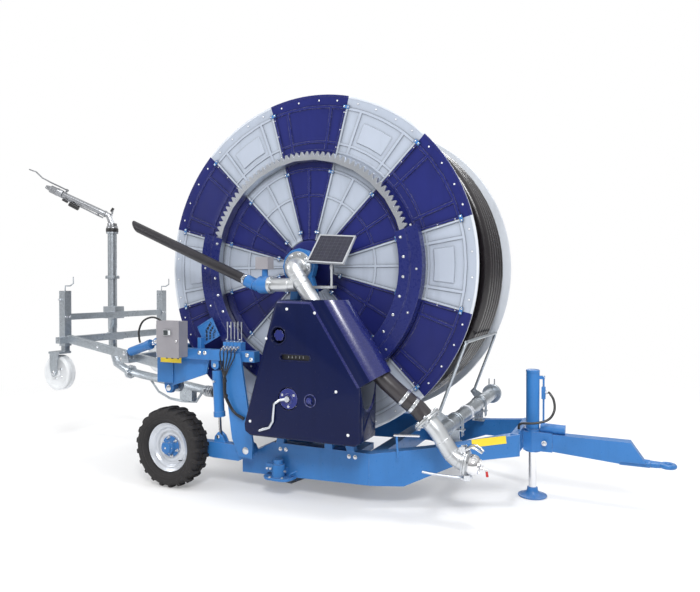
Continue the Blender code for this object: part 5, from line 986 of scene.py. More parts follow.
def build_plain():
    for node, (material, slot) in PLAIN.items():
        refined(node, material, bevel=0.0025)
    valve = refined("bypass_valve", ["blue", "box"], bevel=0.0025)
    for face in valve.data.polygons:
        if face.center.z > 2.079:
            face.material_index = 1
    for i in range(1, 6):
        refined(f"valve_lever_{i}", "zinc", bevel=0.001)


def seated(points, count):
    """An even curve whose first and last stretches are exactly straight."""
    inner = smooth_path(points[1:-1], count - 2)
    return [Vector(points[0])] + inner + [Vector(points[-1])]


def ring_of(at, way, radius, count, first=0.0):
    """Points on a circle about a line, and their directions from its centre."""
    at = Vector(at)
    way, side, up = axes_of(way)
    outs = [side * math.cos(a) + up * math.sin(a) for a in (first + 2 * math.pi * i / count for i in range(count))]
    return [(at + out * radius, out) for out in outs]


def bolt_circle(at, way, radius, count, across=0.022, high=0.012, first=0.0):
    return [hexagon(place, way, across, high) for place, _ in ring_of(at, way, radius, count, first)]


def clamp_band(at, way, radius, wide, lug_way=(0, 0, -1)):
    """A worm clamp: raised-edge band, its housing and the screw through it."""
    at, way = Vector(at), Vector(way).normalized()
    a, b = at - way * wide / 2, at + way * wide / 2
    band = turned([(radius - 0.004, 0), (radius + 0.003, 0), (radius + 0.005, 0.002), (radius + 0.005, 0.005),
                   (radius + 0.0025, 0.007), (radius + 0.0025, wide - 0.007), (radius + 0.005, wide - 0.005),
                   (radius + 0.005, wide - 0.002), (radius + 0.003, wide), (radius - 0.004, wide)], 48, a, b)
    lug = Vector(lug_way)
    lug = (lug - way * lug.dot(way)).normalized()
    across = way.cross(lug).normalized()
    seat = at + lug * (radius + 0.006)
    turn = Matrix((across, way, lug)).transposed().to_4x4()
    box = block((-0.016, 0.016), (-wide * 0.42, wide * 0.42), (-0.004, 0.010), Matrix.Translation(seat) @ turn)
    screw = rod(seat - across * 0.024 + lug * 0.004, seat + across * 0.030 + lug * 0.004, 0.0045, 10)
    head = hexagon(seat + across * 0.028 + lug * 0.004, across, 0.012, 0.008, washer=False)
    return [band, box, screw, head]


def weld_bead(at, way, radius, wide=0.010, high=0.0035):
    at, way = Vector(at), Vector(way).normalized()
    rows = [(radius - 0.002, -wide / 2), (radius + high * 0.7, -wide / 4), (radius + high, 0),
            (radius + high * 0.7, wide / 4), (radius - 0.002, wide / 2)]
    return turned(rows, 48, at, at + way)


# Wheels

WHEEL_X = -1.282
WHEEL_Y = 1.1505
WHEEL_R = 0.3835
TREAD_BLOCKS = 21
SHOULDER_MARKS = 28


def tyre_block(centre, side, angle, flip):
    """One tread block, from the shoulder to just past the middle."""
    stations = ((0.1050, 0.322, 0.3440, 0.058), (0.0985, 0.346, 0.3630, 0.050), (0.0820, 0.356, 0.3775, 0.036),
                (0.0480, 0.360, 0.3828, 0.016), (0.0100, 0.362, 0.3833, 0.002), (-0.0060, 0.362, 0.3815, -0.004))
    points = []
    for h, low, high, skew in stations:
        for r, off in ((low, -0.052), (high, -0.041), (high, 0.041), (low, 0.052)):
            a = angle + flip * skew + off
            points.append(centre + Vector((r * math.cos(a), side * flip * h, r * math.sin(a))))
    last = 4 * (len(stations) - 1)
    return points, ring_faces(len(stations), 4) + [(3, 2, 1, 0), (last, last + 1, last + 2, last + 3)]


def build_wheels():
    half = [(0.2352, 0.0620), (0.2405, 0.0700), (0.2450, 0.0800), (0.2540, 0.0905), (0.2600, 0.0930),
            (0.2640, 0.0985), (0.2760, 0.1020), (0.2800, 0.1000), (0.2840, 0.1035), (0.3000, 0.1066),
            (0.3040, 0.1050), (0.3080, 0.1070), (0.3200, 0.1073), (0.3340, 0.1045), (0.3460, 0.0985),
            (0.3560, 0.0880), (0.3625, 0.0720), (0.3650, 0.0560), (0.3655, 0.0500), (0.3570, 0.0470),
            (0.3570, 0.0410), (0.3658, 0.0380), (0.3670, 0.0200), (0.3672, 0.0120), (0.3590, 0.0090),
            (0.3590, 0.0000)]
    carcass = half + [(r, -h) for r, h in reversed(half[:-1])]
    for side, tag in ((-1, "near"), (1, "far")):
        centre = Vector((WHEEL_X, side * WHEEL_Y, WHEEL_R))
        out = centre + Vector((0, side, 0))

        def at(r, a, h):
            return centre + Vector((r * math.cos(a), side * h, r * math.sin(a)))

        shapes = [turned(carcass, 84, centre, out, closed=True)]
        for i in range(TREAD_BLOCKS):
            step = 2 * math.pi / TREAD_BLOCKS
            shapes.append(tyre_block(centre, side, i * step, 1))
            shapes.append(tyre_block(centre, side, (i + 0.5) * step, -1))
        for i in range(SHOULDER_MARKS):
            a = 2 * math.pi * i / SHOULDER_MARKS
            for b in (a - 0.012, a + 0.012):
                shapes.append(rod(at(0.312, b, 0.1052), at(0.326, b, 0.1045), 0.002, 6))
        piece(f"tyre_{tag}_tread", shapes, "tyre", f"wheel_{tag}", (f"tyre_{tag}",),
              angle=math.radians(38))
        rim = [(0.0452, 0.0020), (0.0452, 0.0180), (0.1040, 0.0180), (0.1120, 0.0230), (0.1400, 0.0250),
               (0.1470, 0.0200), (0.1720, 0.0190), (0.1800, 0.0240), (0.1880, 0.0400), (0.1960, 0.0440),
               (0.2050, 0.0445), (0.2110, 0.0500), (0.2200, 0.0560), (0.2270, 0.0600), (0.2300, 0.0640),
               (0.2335, 0.0650), (0.2348, 0.0610), (0.2348, -0.0600), (0.2300, -0.0640), (0.2220, -0.0615),
               (0.2160, -0.0400), (0.2130, 0.0060)]
        piece(f"rim_{tag}_disc", [turned(rim, 84, centre, out, closed=True)], "rim", f"wheel_{tag}",
              (f"wheel_rim_{tag}",), angle=CRISP)
        hub = [(0.0446, 0.0185), (0.0980, 0.0185), (0.1000, 0.0200), (0.1000, 0.0250), (0.0970, 0.0275),
               (0.0790, 0.0290), (0.0720, 0.0360), (0.0690, 0.0500), (0.0680, 0.0760), (0.0640, 0.0800),
               (0.0560, 0.0810), (0.0530, 0.0860), (0.0500, 0.0980), (0.0440, 0.1010),
               (0.0, 0.1015)]
        piece(f"hub_{tag}", [turned(hub, 48, centre, out)], "blue", f"wheel_{tag}", angle=CRISP)
        way = Vector((0, side, 0))
        studs = []
        for place, _ in ring_of(centre + way * 0.0268, way, 0.0860, 6, 0.3):
            studs.append(hexagon(place, way, 0.022, 0.014))
            studs.append(rod(place + way * 0.012, place + way * 0.026, 0.0065, 12))
        studs += [hexagon(place, way, 0.009, 0.005, washer=False)
                  for place, _ in ring_of(centre + way * 0.0808, way, 0.0605, 6)]
        studs.append(dome(centre + way * 0.1012, way, 0.010, 0.004))
        hardware(f"wheel_studs_{tag}", studs, f"wheel_{tag}")
        a = math.radians(-38)
        foot, tip = at(0.190, a, 0.040), at(0.176, a, 0.074)
        piece(f"valve_stem_{tag}", [swept([foot, foot.lerp(tip, 0.7), foot.lerp(tip, 0.72), tip],
                                          [0.0055, 0.0045, 0.0052, 0.0052], 10)], "black", f"wheel_{tag}")


# Water line

PIPE_Y = 1.085
PIPE_R = 0.070
BRANCH_Z = 1.940
CLAMP_Y = 0.470
STAND_SEAT = -0.9401
MANIFOLD_Y = 0.980
CROSS_X, CROSS_Z = 1.325, 0.725
PIPE_END = Vector((0.330, -PIPE_Y, 1.660))
PIPE_WAY = Vector((0.130, 0, -0.172)).normalized()
FACE = Vector((1.2205, -MANIFOLD_Y, 0.8439))
FACE_WAY = Vector((0.0895, 0, -0.0919)).normalized()
BAIL_FOOT = Vector((1.2293, 0, 0.8130))


def build_inlet():
    hub = Vector((0, STAND_SEAT, DRUM_Z))
    out = Vector((0, -1, 0))
    route = seated([(0, STAND_SEAT - 0.010, DRUM_Z), (0, -1.010, DRUM_Z), (0.012, -1.064, DRUM_Z - 0.016),
                    (0.052, -PIPE_Y, 2.045), (0.200, -PIPE_Y, 1.832), PIPE_END - PIPE_WAY * 0.050, PIPE_END], 44)
    flange = turned([(0.060, 0.0), (0.133, 0.0), (0.135, 0.002), (0.135, 0.011), (0.133, 0.0115), (0.133, 0.0125),
                     (0.135, 0.013), (0.135, 0.022), (0.133, 0.024), (0.080, 0.024), (0.074, 0.030), (0.068, 0.032)],
                    64, hub, hub + out)
    branch = turned([(0.0, 0.0), (0.060, 0.0), (0.060, 0.245), (0.0765, 0.247), (0.078, 0.249), (0.078, 0.258),
                     (0.0765, 0.260), (0.0765, 0.262), (0.078, 0.264), (0.078, 0.273), (0.076, 0.275), (0.0, 0.275)],
                    48, (0.060, -PIPE_Y, BRANCH_Z), (-1.0, -PIPE_Y, BRANCH_Z))
    shapes = [swept(route, PIPE_R, 40), flange, branch]
    for i in (12, 16, 20):
        shapes.append(weld_bead(route[i], route[i + 1] - route[i - 1], PIPE_R))
    shapes.append(weld_bead((-0.005, -PIPE_Y, BRANCH_Z), (1, 0, 0), 0.060, 0.012, 0.004))
    piece("inlet_elbow", shapes, "bright_zinc", "chassis", ("inlet_pipe",), angle=CRISP)
    bolts = bolt_circle(hub + out * 0.024, out, 0.108, 8, 0.024, 0.014, 0.2)
    bolts += bolt_circle((-0.1895, -PIPE_Y, BRANCH_Z), (1, 0, 0), 0.0685, 8, 0.012, 0.008)
    hardware("inlet_bolts", bolts)


SUPPLY_ROUTE = [(0.500, -1.075, 1.475), (0.730, -1.065, 1.290), (0.930, -1.045, 1.105), (1.060, -1.012, 0.990)]


def build_supply():
    route = seated([PIPE_END + PIPE_WAY * 0.0003, PIPE_END + PIPE_WAY * 0.050] + [Vector(p) for p in SUPPLY_ROUTE]
                   + [FACE - FACE_WAY * 0.090, FACE - FACE_WAY * 0.0003], 80)
    piece("supply_hose_skin", [swept(route, 0.074, 40)], "supply", "chassis", ("supply_hose",))
    clamps = []
    for back in (6, 13):
        clamps += clamp_band(route[-back], route[-back + 1] - route[-back - 1], 0.0745, 0.030, (-0.4, -1, 0.2))
    hardware("supply_clamps", clamps, bevel=0.0008)


def build_manifold():
    y = -MANIFOLD_Y
    discs = []
    for start in (0.0, 0.0165):
        discs.append(turned([(0.062, start), (0.123, start), (0.125, start + 0.002), (0.125, start + 0.0115),
                             (0.123, start + 0.0135), (0.062, start + 0.0135)], 64, FACE, FACE + FACE_WAY))
    route = smooth_path([FACE + FACE_WAY * 0.010, (1.310, y, 0.752), (1.375, y, 0.660), (1.440, y, 0.570),
                         (1.520, y, 0.520), (1.600, y, 0.505)], 48)
    main = [swept(route, PIPE_R, 40)] + discs
    for i in (4, 20, 31, 38):
        main.append(weld_bead(route[i], route[i + 1] - route[i - 1], PIPE_R, 0.012))
    axis = Vector((0.035, 0, -0.006)).normalized()
    main.append(turned([(0.060, 0.0), (0.100, 0.0), (0.105, 0.004), (0.105, 0.014), (0.099, 0.018), (0.105, 0.022),
                        (0.105, 0.031), (0.100, 0.0355), (0.060, 0.0355)], 56, (1.535, y, 0.515),
                       Vector((1.535, y, 0.515)) + axis))
    piece("manifold_elbow", main, "bright_zinc", "chassis", ("inlet_manifold",), angle=CRISP)
    ball = [(0.0, 0.0), (0.070, 0.004), (0.079, 0.020), (0.082, 0.042), (0.0815, 0.062), (0.077, 0.078),
            (0.066, 0.094), (0.061, 0.098), (0.060, 0.106), (0.052, 0.107), (0.050, 0.090), (0.0, 0.086)]
    start = Vector((1.560, y, 0.511))
    piece("near_coupling", [turned(ball, 56, start, start + axis)], "chrome", "chassis", angle=CRISP)
    ears = []
    up = Vector((0.17, 0, 1.0)).normalized()
    middle = Vector((1.553, y, 0.512))
    for side in (1, -1):
        for off in (-0.034, 0.034):
            ears.append(block((-0.026, 0.026), (off - 0.006, off + 0.006), (0.090, 0.137),
                              Matrix.Translation(middle) @ Matrix.Rotation(-0.17, 4, "Y")
                              @ Matrix.Diagonal((1, 1, side, 1))))
        pin = middle + up * side * 0.120
        ears.append(rod(pin - Vector((0, 0.052, 0)), pin + Vector((0, 0.052, 0)), 0.010, 16))
    for side in (-1, 1):
        hook = [middle + up * rise + Vector((ahead, side * across, 0)) for rise, ahead, across in
                ((0.120, 0.0, 0.045), (0.140, 0.03, 0.045), (0.125, 0.085, 0.040), (0.100, 0.120, 0.03))]
        ears.append(swept(smooth_path(hook, 12), 0.010, 12))
    piece("coupling_ears", ears, "bolt", "chassis", bevel=0.003)
    tap = Vector((1.662, y, 0.480))
    spout = tap + axis * 0.030
    shapes = [rod(tap, tap + axis * 0.050, 0.011, 16), rod(spout, spout + Vector((0, 0, 0.030)), 0.007, 12),
              rod(tap + axis * 0.052, tap + axis * 0.066, 0.009, 12)]
    piece("drain_tap", shapes, "chrome", "chassis")
    grip = rod(tap + axis * 0.058 + Vector((0, 0, -0.005)), tap + axis * 0.064 + Vector((0, 0, -0.048)), 0.0095, 14,
               0.011)
    piece("tap_handle", [grip], "red", "chassis", bevel=0.002)
    bolts = []
    for place, _ in ring_of(FACE, FACE_WAY, 0.104, 8, 0.3):
        bolts.append(hexagon(place + FACE_WAY * 0.030, FACE_WAY, 0.022, 0.013))
        bolts.append(hexagon(place, -FACE_WAY, 0.022, 0.013))
    hardware("manifold_bolts", bolts)


def build_crossover():
    y = -MANIFOLD_Y
    cross = [swept([(CROSS_X, y, CROSS_Z), (CROSS_X, 1.128, CROSS_Z)], 0.065, 40)]
    cross.append(turned([(0.060, 0.0), (0.101, 0.0), (0.105, 0.004), (0.105, 0.018), (0.100, 0.0235), (0.105, 0.029),
                         (0.105, 0.046), (0.100, 0.050), (0.060, 0.050)], 48, (CROSS_X, 1.090, CROSS_Z),
                         (CROSS_X, 2, CROSS_Z)))
    cross.append(turned([(0.085, 0.0), (0.085, 0.050), (0.078, 0.066), (0.062, 0.083), (0.040, 0.094), (0.0, 0.098)],
                        40, (CROSS_X, 1.130, CROSS_Z), (CROSS_X, 2, CROSS_Z)))
    for at in (-0.700, 0.300, 0.820):
        cross.append(weld_bead((CROSS_X, at, CROSS_Z), (0, 1, 0), 0.065))
    for side in (-1, 1):
        at = side * CLAMP_Y
        cross.append(block((CROSS_X - 0.045, CROSS_X + 0.045), (at - 0.008, at + 0.008), (0.5530, CROSS_Z - 0.030)))
        cross.append(block((CROSS_X - 0.060, CROSS_X + 0.060), (at - 0.030, at + 0.030), (0.5480, 0.5560)))
        for off in (-0.026, 0.026):
            hoop = [(CROSS_X - 0.072, at + off, 0.600), (CROSS_X - 0.072, at + off, CROSS_Z)]
            hoop += [(CROSS_X + 0.072 * math.cos(a), at + off, CROSS_Z + 0.072 * math.sin(a))
                     for a in np.linspace(math.pi, 0, 13)[1:-1]]
            hoop += [(CROSS_X + 0.072, at + off, CROSS_Z), (CROSS_X + 0.072, at + off, 0.600)]
            cross.append(swept(hoop, 0.006, 10))
        cross.append(block((CROSS_X - 0.090, CROSS_X + 0.090), (at - 0.036, at + 0.036),
                           (CROSS_Z - 0.078, CROSS_Z - 0.066)))
    foot = BAIL_FOOT
    centre = Vector((CROSS_X, 0, CROSS_Z))
    way = (foot - centre).normalized()
    over = Vector((way.z, 0, -way.x))
    near, end = centre + way * 0.040, foot + way * 0.030
    corners = [near - over * 0.050, end - over * 0.026, end + over * 0.026, near + over * 0.050]
    for side in (-1, 1):
        cross.append(slab([(p.x, p.z) for p in corners], 0.010, upright(0.6543 if side > 0 else -0.6643)))
    piece("crossover_pipe", cross, "galvanised", "chassis", bevel=0.0015, angle=CRISP)
    band = clamp_band((CROSS_X, -0.060, CROSS_Z), (0, 1, 0), 0.068, 0.034, (0.7, 0, 0.6))
    piece("crossover_clamp", band, "rivet", "chassis", bevel=0.001)
    nuts = [hexagon((CROSS_X + off, side * CLAMP_Y + step, CROSS_Z - 0.078), (0, 0, -1), 0.016, 0.010)
            for side in (-1, 1) for off in (-0.072, 0.072) for step in (-0.026, 0.026)]
    nuts += [hexagon((foot.x, side * 0.6643, foot.z), (0, side, 0), 0.018, 0.010) for side in (-1, 1)]
    ears = []
    lug = [(-0.020, 0.090), (0.020, 0.090), (0.016, 0.150), (0.006, 0.176), (-0.010, 0.172)]
    stand = Matrix(((0, 0, 1, -0.006), (1, 0, 0, 1.112), (0, 1, 0, 0), (0, 0, 0, 1)))
    for off in (-0.030, 0.030):
        ears.append(slab(lug, 0.012, Matrix.Translation((CROSS_X + off, 0, CROSS_Z)) @ stand))
    piece("far_coupling_ears", ears, "bolt", "chassis", bevel=0.002)
    hardware("crossover_nuts", nuts)


def build_bail():
    foot = BAIL_FOOT
    way = Vector((math.cos(math.radians(69.5)), 0, math.sin(math.radians(69.5))))
    half = [foot + way * along - Vector((0, across, 0)) for along, across in
            ((0.0, 0.640), (0.330, 0.640), (0.560, 0.640), (0.632, 0.634), (0.660, 0.616), (0.673, 0.586),
             (0.676, 0.540))]
    path = half + [Vector((p.x, -p.y, p.z)) for p in reversed(half)]
    shapes = [swept(smooth_path(path, 120), 0.014, 18)]
    for side in (-1, 1):
        shapes.append(turned([(0.0, 0.0), (0.017, 0.0), (0.019, 0.002), (0.019, 0.030), (0.017, 0.032), (0.0, 0.032)],
                             20, (foot.x, side * 0.622, foot.z), (foot.x, side * 2, foot.z)))
    piece("bail_bow", shapes, "galvanised", "bail", ("winding_bail",))


def build_discharge():
    seat = Vector((-0.375, -PIPE_Y, 1.945))
    end = Vector((-1.840, -PIPE_Y, 2.548))
    way = (end - seat).normalized()
    start = seat + way * 0.0903
    length = (end - start).length
    depth = length - 0.60
    rows = [(0.0, 0.0), (0.047, 0.0), (0.047, length * 0.5), (0.047, length), (0.040, length), (0.040, depth),
            (0.0, depth)]
    points, faces = turned(rows, 48, start, end)
    up = Vector((-way.z, 0, way.x))
    cut = []
    for point in points:
        along = (point - start).dot(way)
        if along > length - 0.01:
            rise = (point - start).dot(up)
            point = point - way * (0.050 + rise * 1.06)
        cut.append(point)
    piece("discharge_tube", [(cut, faces)], "pipe_black", "chassis", ("discharge_pipe",), angle=CRISP)
    band = clamp_band(start + way * 0.020, way, 0.0475, 0.022, (0, -1, 0.3))
    hardware("discharge_clamp", band, bevel=0.0008)


# Hood details

HOOD_FACE = -1.250
CRANK = Vector((0.072, HOOD_FACE, 0.957))
KNOB = Vector((-0.028, HOOD_FACE, 1.500))
INWARD = Vector((0, 1, 0))
SLOT_Z = 1.316
SLOT_LEFT, SLOT_RIGHT = -0.005, 0.285
SLOT_R = 0.024


def slot_outline(radius):
    """The slot's outline on the hood's face, round at both ends."""
    return (arc((SLOT_RIGHT - SLOT_R, SLOT_Z), radius, -90, 90, 14)
            + arc((SLOT_LEFT + SLOT_R, SLOT_Z), radius, 90, 270, 14))


def build_hood_details():
    heads = [(0.060, 1.730), (-0.150, 1.470), (0.530, 1.050), (-0.318, 0.730), (0.640, 0.700), (0.330, 1.700)]
    piece("hood_rivets", [dome((x, HOOD_FACE, z), (0, -1, 0), 0.013, 0.009, 18) for x, z in heads], "rivet",
          "chassis")
    ring = turned([(0.072, 0.020), (0.071, -0.001), (0.074, -0.006), (0.079, -0.007), (0.083, -0.004),
                   (0.084, 0.001)], 56, KNOB, KNOB + INWARD)
    cup = turned([(0.0, 0.100), (0.071, 0.100), (0.0715, 0.0)], 48, KNOB, KNOB + INWARD)
    outline = slot_outline(SLOT_R)
    wide = slot_outline(SLOT_R + 0.010)
    rows = ((wide, HOOD_FACE + 0.001), (wide, HOOD_FACE - 0.005), (outline, HOOD_FACE - 0.005),
            (outline, HOOD_FACE + 0.030))
    points = [Vector((a, y, b)) for loop, y in rows for a, b in loop]
    faces = ring_faces(4, len(outline))
    piece("hood_rims", [ring, cup, (points, faces)], "hood", "chassis", angle=math.radians(50))
    piece("slot_back", [slab(outline, 0.002, upright(HOOD_FACE + 0.028))], "black", "chassis")
    scale = [block((0.060 + 0.036 * i, 0.063 + 0.036 * i), (HOOD_FACE + 0.0265, HOOD_FACE + 0.0282), (1.306, 1.326))
             for i in range(5)]
    piece("slot_scale", scale, "rivet", "chassis")
    plate = turned([(0.0, -0.002), (0.086, -0.002), (0.090, 0.002), (0.090, 0.020), (0.0, 0.020)], 64,
                   CRANK, CRANK + INWARD)
    boss = turned([(0.046, 0.0), (0.044, -0.006), (0.032, -0.010), (0.029, -0.002)], 48, CRANK, CRANK + INWARD)
    piece("crank_plate", [plate, boss], "dial", "chassis", angle=CRISP)
    heads = bolt_circle(CRANK + Vector((0, -0.002, 0)), (0, -1, 0), 0.066, 3, 0.014, 0.006, 0.5)
    piece("crank_plate_bolts", heads, "bolt", "chassis")
    second = CRANK + Vector((0.215, 0, 0.0))
    oval = turned([(0.056, 0.002), (0.056, -0.005), (0.050, -0.006), (0.049, 0.001)], 40, second, second + INWARD)
    knob = turned([(0.0, -0.016), (0.022, -0.015), (0.026, -0.010), (0.027, 0.002), (0.048, 0.002), (0.048, 0.004)],
                  40, second - Vector((0.010, 0, 0)), second + Vector((-0.010, 1, 0)))
    lever = rod(second + Vector((-0.010, -0.012, 0)), second + Vector((0.020, -0.018, -0.030)), 0.006, 12)
    piece("second_knob", [oval, knob, lever], "dial", "chassis", angle=CRISP)
    grip = Vector((-0.184, -1.2673, 0.671))
    shape = turned([(0.0, 0.0), (0.009, 0.0), (0.0105, 0.004), (0.0112, 0.02), (0.0105, 0.040), (0.008, 0.044),
                    (0.0, 0.045)], 20, grip + Vector((0.010, 0.002, 0.004)), grip + Vector((-0.030, 0, -0.012)))
    hardware("crank_grip", [shape], "crank")


# Drawbar end

JACK_X = 1.930


def build_jack():
    start, end = (JACK_X, 0, 0), (JACK_X, 0, 1)
    ram = [(0.0, 0.060), (0.036, 0.060), (0.036, 0.760), (0.0477, 0.762), (0.0477, 0.798), (0.0, 0.800)]
    piece("jack_ram", [turned(ram, 48, start, end)], "chrome", "jack", ("jack_leg",), angle=CRISP)
    foot = [(0.0, 0.0), (0.118, 0.0), (0.126, 0.003), (0.130, 0.008), (0.129, 0.013), (0.122, 0.0145),
            (0.108, 0.0165), (0.078, 0.030), (0.062, 0.040), (0.050, 0.052), (0.048, 0.070), (0.046, 0.084),
            (0.040, 0.088), (0.036, 0.0885),
            (0.0, 0.0885)]
    piece("jack_foot", [turned(foot, 64, start, end)], "blue", "jack", angle=CRISP)


HITCH_Z = 0.410


def build_hitch():
    centre = Vector((3.036, 0, HITCH_Z))
    eye = [(0.049 + 0.0208 * math.cos(a), 0.0215 * math.sin(a)) for a in np.linspace(0, 2 * math.pi, 19)[:-1]]
    shapes = [turned(eye, 56, centre, centre + Vector((0, 0, 1)), closed=True)]
    face = 2.9003
    neck = [(0.0, 0.0), (0.020, 0.0), (0.020, face - 2.740), (0.029, face - 2.7398), (0.031, face - 2.738),
            (0.029, face - 2.690), (0.026, face - 2.640), (0.022, face - 2.628), (0.0, face - 2.626)]
    shapes.append(turned(neck, 36, (2.740, 0, HITCH_Z), (4, 0, HITCH_Z)))
    piece("towing_eye_skin", shapes, "blue", "hitch", ("hitch_ring",), angle=CRISP)


# Solar panel

def build_solar():
    low = Vector((0.325, -1.050, 2.125))
    lean = Vector((0.030, 0.200, 0.255))
    upper = lean.normalized()
    across = (Vector((1, 0, 0)) - upper * upper.x).normalized()
    turn = Matrix.Translation(low) @ Matrix((across, upper.cross(across), upper)).transposed().to_4x4()
    tall = lean.length
    deep, inner = (-0.012, 0.012), (0.0141, tall - 0.0141)
    bars = [block((-0.185, 0.185), deep, high, turn) for high in ((0, 0.014), (tall - 0.014, tall))]
    bars += [block(wide, deep, inner, turn) for wide in ((-0.185, -0.171), (0.171, 0.185))]
    bars.append(block((-0.1709, 0.1709), (0.002, 0.006), inner, turn))
    bars.append(rod((0.365, -1.000, 1.910), (0.365, -1.000, 2.180), 0.011, 20))
    bars.append(rod((0.365, -1.000, 2.080), (0.365, -1.000, 2.110), 0.015, 20))
    bars.append(block((0.100, 0.385), (-0.9641, -0.9401), (1.905, 1.930)))
    bars.append(block((0.345, 0.385), (-1.015, -0.9501), (1.907, 1.928)))
    piece("solar_frame", bars, "frame_grey", "chassis", ("solar_panel",), bevel=0.0015)
    corners = [(-0.1712, 0.0138), (0.1712, 0.0138), (0.1712, tall - 0.0138), (-0.1712, tall - 0.0138)]
    points = [turn @ Vector((x, y, z)) for y in (-0.009, 0.0015) for x, z in corners]
    loops = [(0, 1, 2, 3), (7, 6, 5, 4), (0, 4, 5, 1), (1, 5, 6, 2), (2, 6, 7, 3), (3, 7, 4, 0)]
    glass = piece("solar_glass", [(points, loops)], "cells", "chassis")
    uv = glass.data.uv_layers.new(name="cells")
    spots = [(0, 0), (1, 0), (1, 1), (0, 1)] * 2
    for loop in glass.data.loops:
        uv.data[loop.index].uv = spots[loop.vertex_index]
    piece("solar_box", [block((-0.05, 0.05), (0.006, 0.026), (0.12, 0.19), turn)], "black", "chassis", bevel=0.003)


# Rear equipment

def build_box_details():
    piece("display_back", [block((-1.3495, -1.2905), (-1.1602, -1.1583), (1.4605, 1.4995))], "black", "door")
    piece("display_frame", [block((-1.3640, -1.3040), (-1.1832, -1.1795), (1.4520, 1.5080))], "frame_grey", "door",
          bevel=0.0012)
    piece("display_glass", [block((-1.3600, -1.3080), (-1.1838, -1.1830), (1.4560, 1.5040))], "display", "door")
    piece("start_button", [block((-1.3000, -1.2780), (-1.1840, -1.1795), (1.4580, 1.5020))], "white", "door",
          bevel=0.002)
    lock = Vector((-1.210, -1.1800, 1.400))
    piece("door_lock", [dome(lock, (0, -1, 0), 0.0118, 0.004, 20),
                        block((-1.2115, -1.2085), (-1.1848, -1.1838), (1.393, 1.407))],
          "chrome", "door")
    hinges = [rod((-1.4662, -1.1585, z), (-1.4662, -1.1585, z + 0.050), 0.0050, 14) for z in (1.275, 1.505)]
    piece("door_hinges", hinges, "bolt", "door")
    glands = [rod((x, -1.090, 1.2400), (x, -1.090, 1.2180), 0.013, 16, 0.010) for x in (-1.400, -1.330, -1.260)]
    piece("cable_glands", glands, "black", "chassis", bevel=0.002)


def build_grille():
    edge, strip = 0.100, 0.008
    place = Matrix.Translation((-1.014, 0, 1.487)) @ upright(-0.936) @ Matrix.Rotation(math.radians(28), 4, "Z")
    corner = Vector((edge, -edge))
    bars = []
    for degrees in (104, 118, 132, 146, 160):
        a = math.radians(degrees)
        near, far = [corner + Vector((math.cos(a), math.sin(a))) * r for r in (0.035, 0.182)]
        side = Vector((-math.sin(a), math.cos(a))) * 0.003
        reach = max(abs(far.x), abs(far.y))
        if reach > edge:
            far = corner + (far - corner) * ((edge - 0.004) / reach)
        outline = [tuple(near - side), tuple(far - side), tuple(far + side), tuple(near + side)]
        bars.append(slab(outline, 0.003, place @ Matrix.Translation((0, 0, -0.003))))
    for a0, a1, b0, b1 in ((-edge, edge, -edge, -edge + strip), (-edge, edge, edge - strip, edge),
                           (-edge, -edge + strip, -edge, edge), (edge - strip, edge, -edge, edge)):
        bars.append(slab([(a0, b0), (a1, b0), (a1, b1), (a0, b1)], 0.006, place @ Matrix.Translation((0, 0, -0.005))))
    piece("grille_bars", bars, "blue", "chassis", bevel=0.001)
    piece("grille_back", [slab([(-0.094, -0.094), (0.094, -0.094), (0.094, 0.094), (-0.094, 0.094)], 0.003,
                               place @ Matrix.Translation((0, 0, 0.0085)))], "black", "chassis")


def build_strips():
    """Yellow strips on the back rail and on the drawn-in arm."""
    strips = [block((-1.530, -1.270), (-1.0330, -1.0298), (1.1720, 1.2620))]
    along = Vector((1.855 - 0.690, 0.550, 0)).normalized()
    out = Vector((0.550, -1.165, 0)).normalized()
    base = Vector((0.690, -0.880, 0)) + out * 0.0500
    turn = Matrix.Translation(base) @ Matrix((along, out, Vector((0, 0, 1)))).transposed().to_4x4()
    place = turn @ Matrix.Translation((1.020, 0, 0.580)) @ Matrix.Rotation(-0.115, 4, "Y")
    strips.append(block((-0.150, 0.150), (-0.0008, 0.0006), (-0.034, 0.034), place))
    piece("yellow_strips", strips, "yellow", "chassis")


def build_valve_details():
    fittings, nuts = [], []
    for x in LEVERS_X:
        port = valve_port(x)
        fittings.append(rod(port - PORT_WAY * 0.045, port + PORT_WAY * 0.004, 0.0105, 14))
        fittings.append(swept([port + PORT_WAY * 0.002, port + PORT_WAY * 0.022], 0.0085, 14))
        nuts.append(hexagon(port - PORT_WAY * 0.030, PORT_WAY, 0.024, 0.014, washer=False))
        nuts.append(hexagon(port + PORT_WAY * 0.004, PORT_WAY, 0.020, 0.012, washer=False))
        nuts.append(hexagon((x, -0.985, 1.4005), (0, 0, 1), 0.028, 0.010, washer=False))
    hardware("valve_fittings", fittings + nuts, bevel=0.0006)
    lines = [block((x + 0.0192, x + 0.0208), (-1.0315, -0.9485), (1.3206, 1.4010)) for x in LEVERS_X[:-1]]
    piece("valve_joints", lines, "black", "chassis")
    band = [(0.0172, -0.012), (0.0195, -0.010), (0.0195, 0.010), (0.0172, 0.012)]
    tie = [turned(band, 24, (x, -1.100, z), (x, -1.100, 2.0), closed=True) for x,
           z in ((-0.700, 1.040), (-0.690, 0.905))]
    piece("hose_ties", tie, "black", "chassis")


def pin_head(at, way, radius):
    return [turned([(0.0, 0.0), (radius, 0.0), (radius * 1.02, 0.003), (radius, 0.010), (radius * 0.8, 0.013),
                    (0.0, 0.013)], 24,
                   at, Vector(at) + Vector(way))]


RAM_Y = 0.985
EYE_FACE = RAM_Y + 0.0332


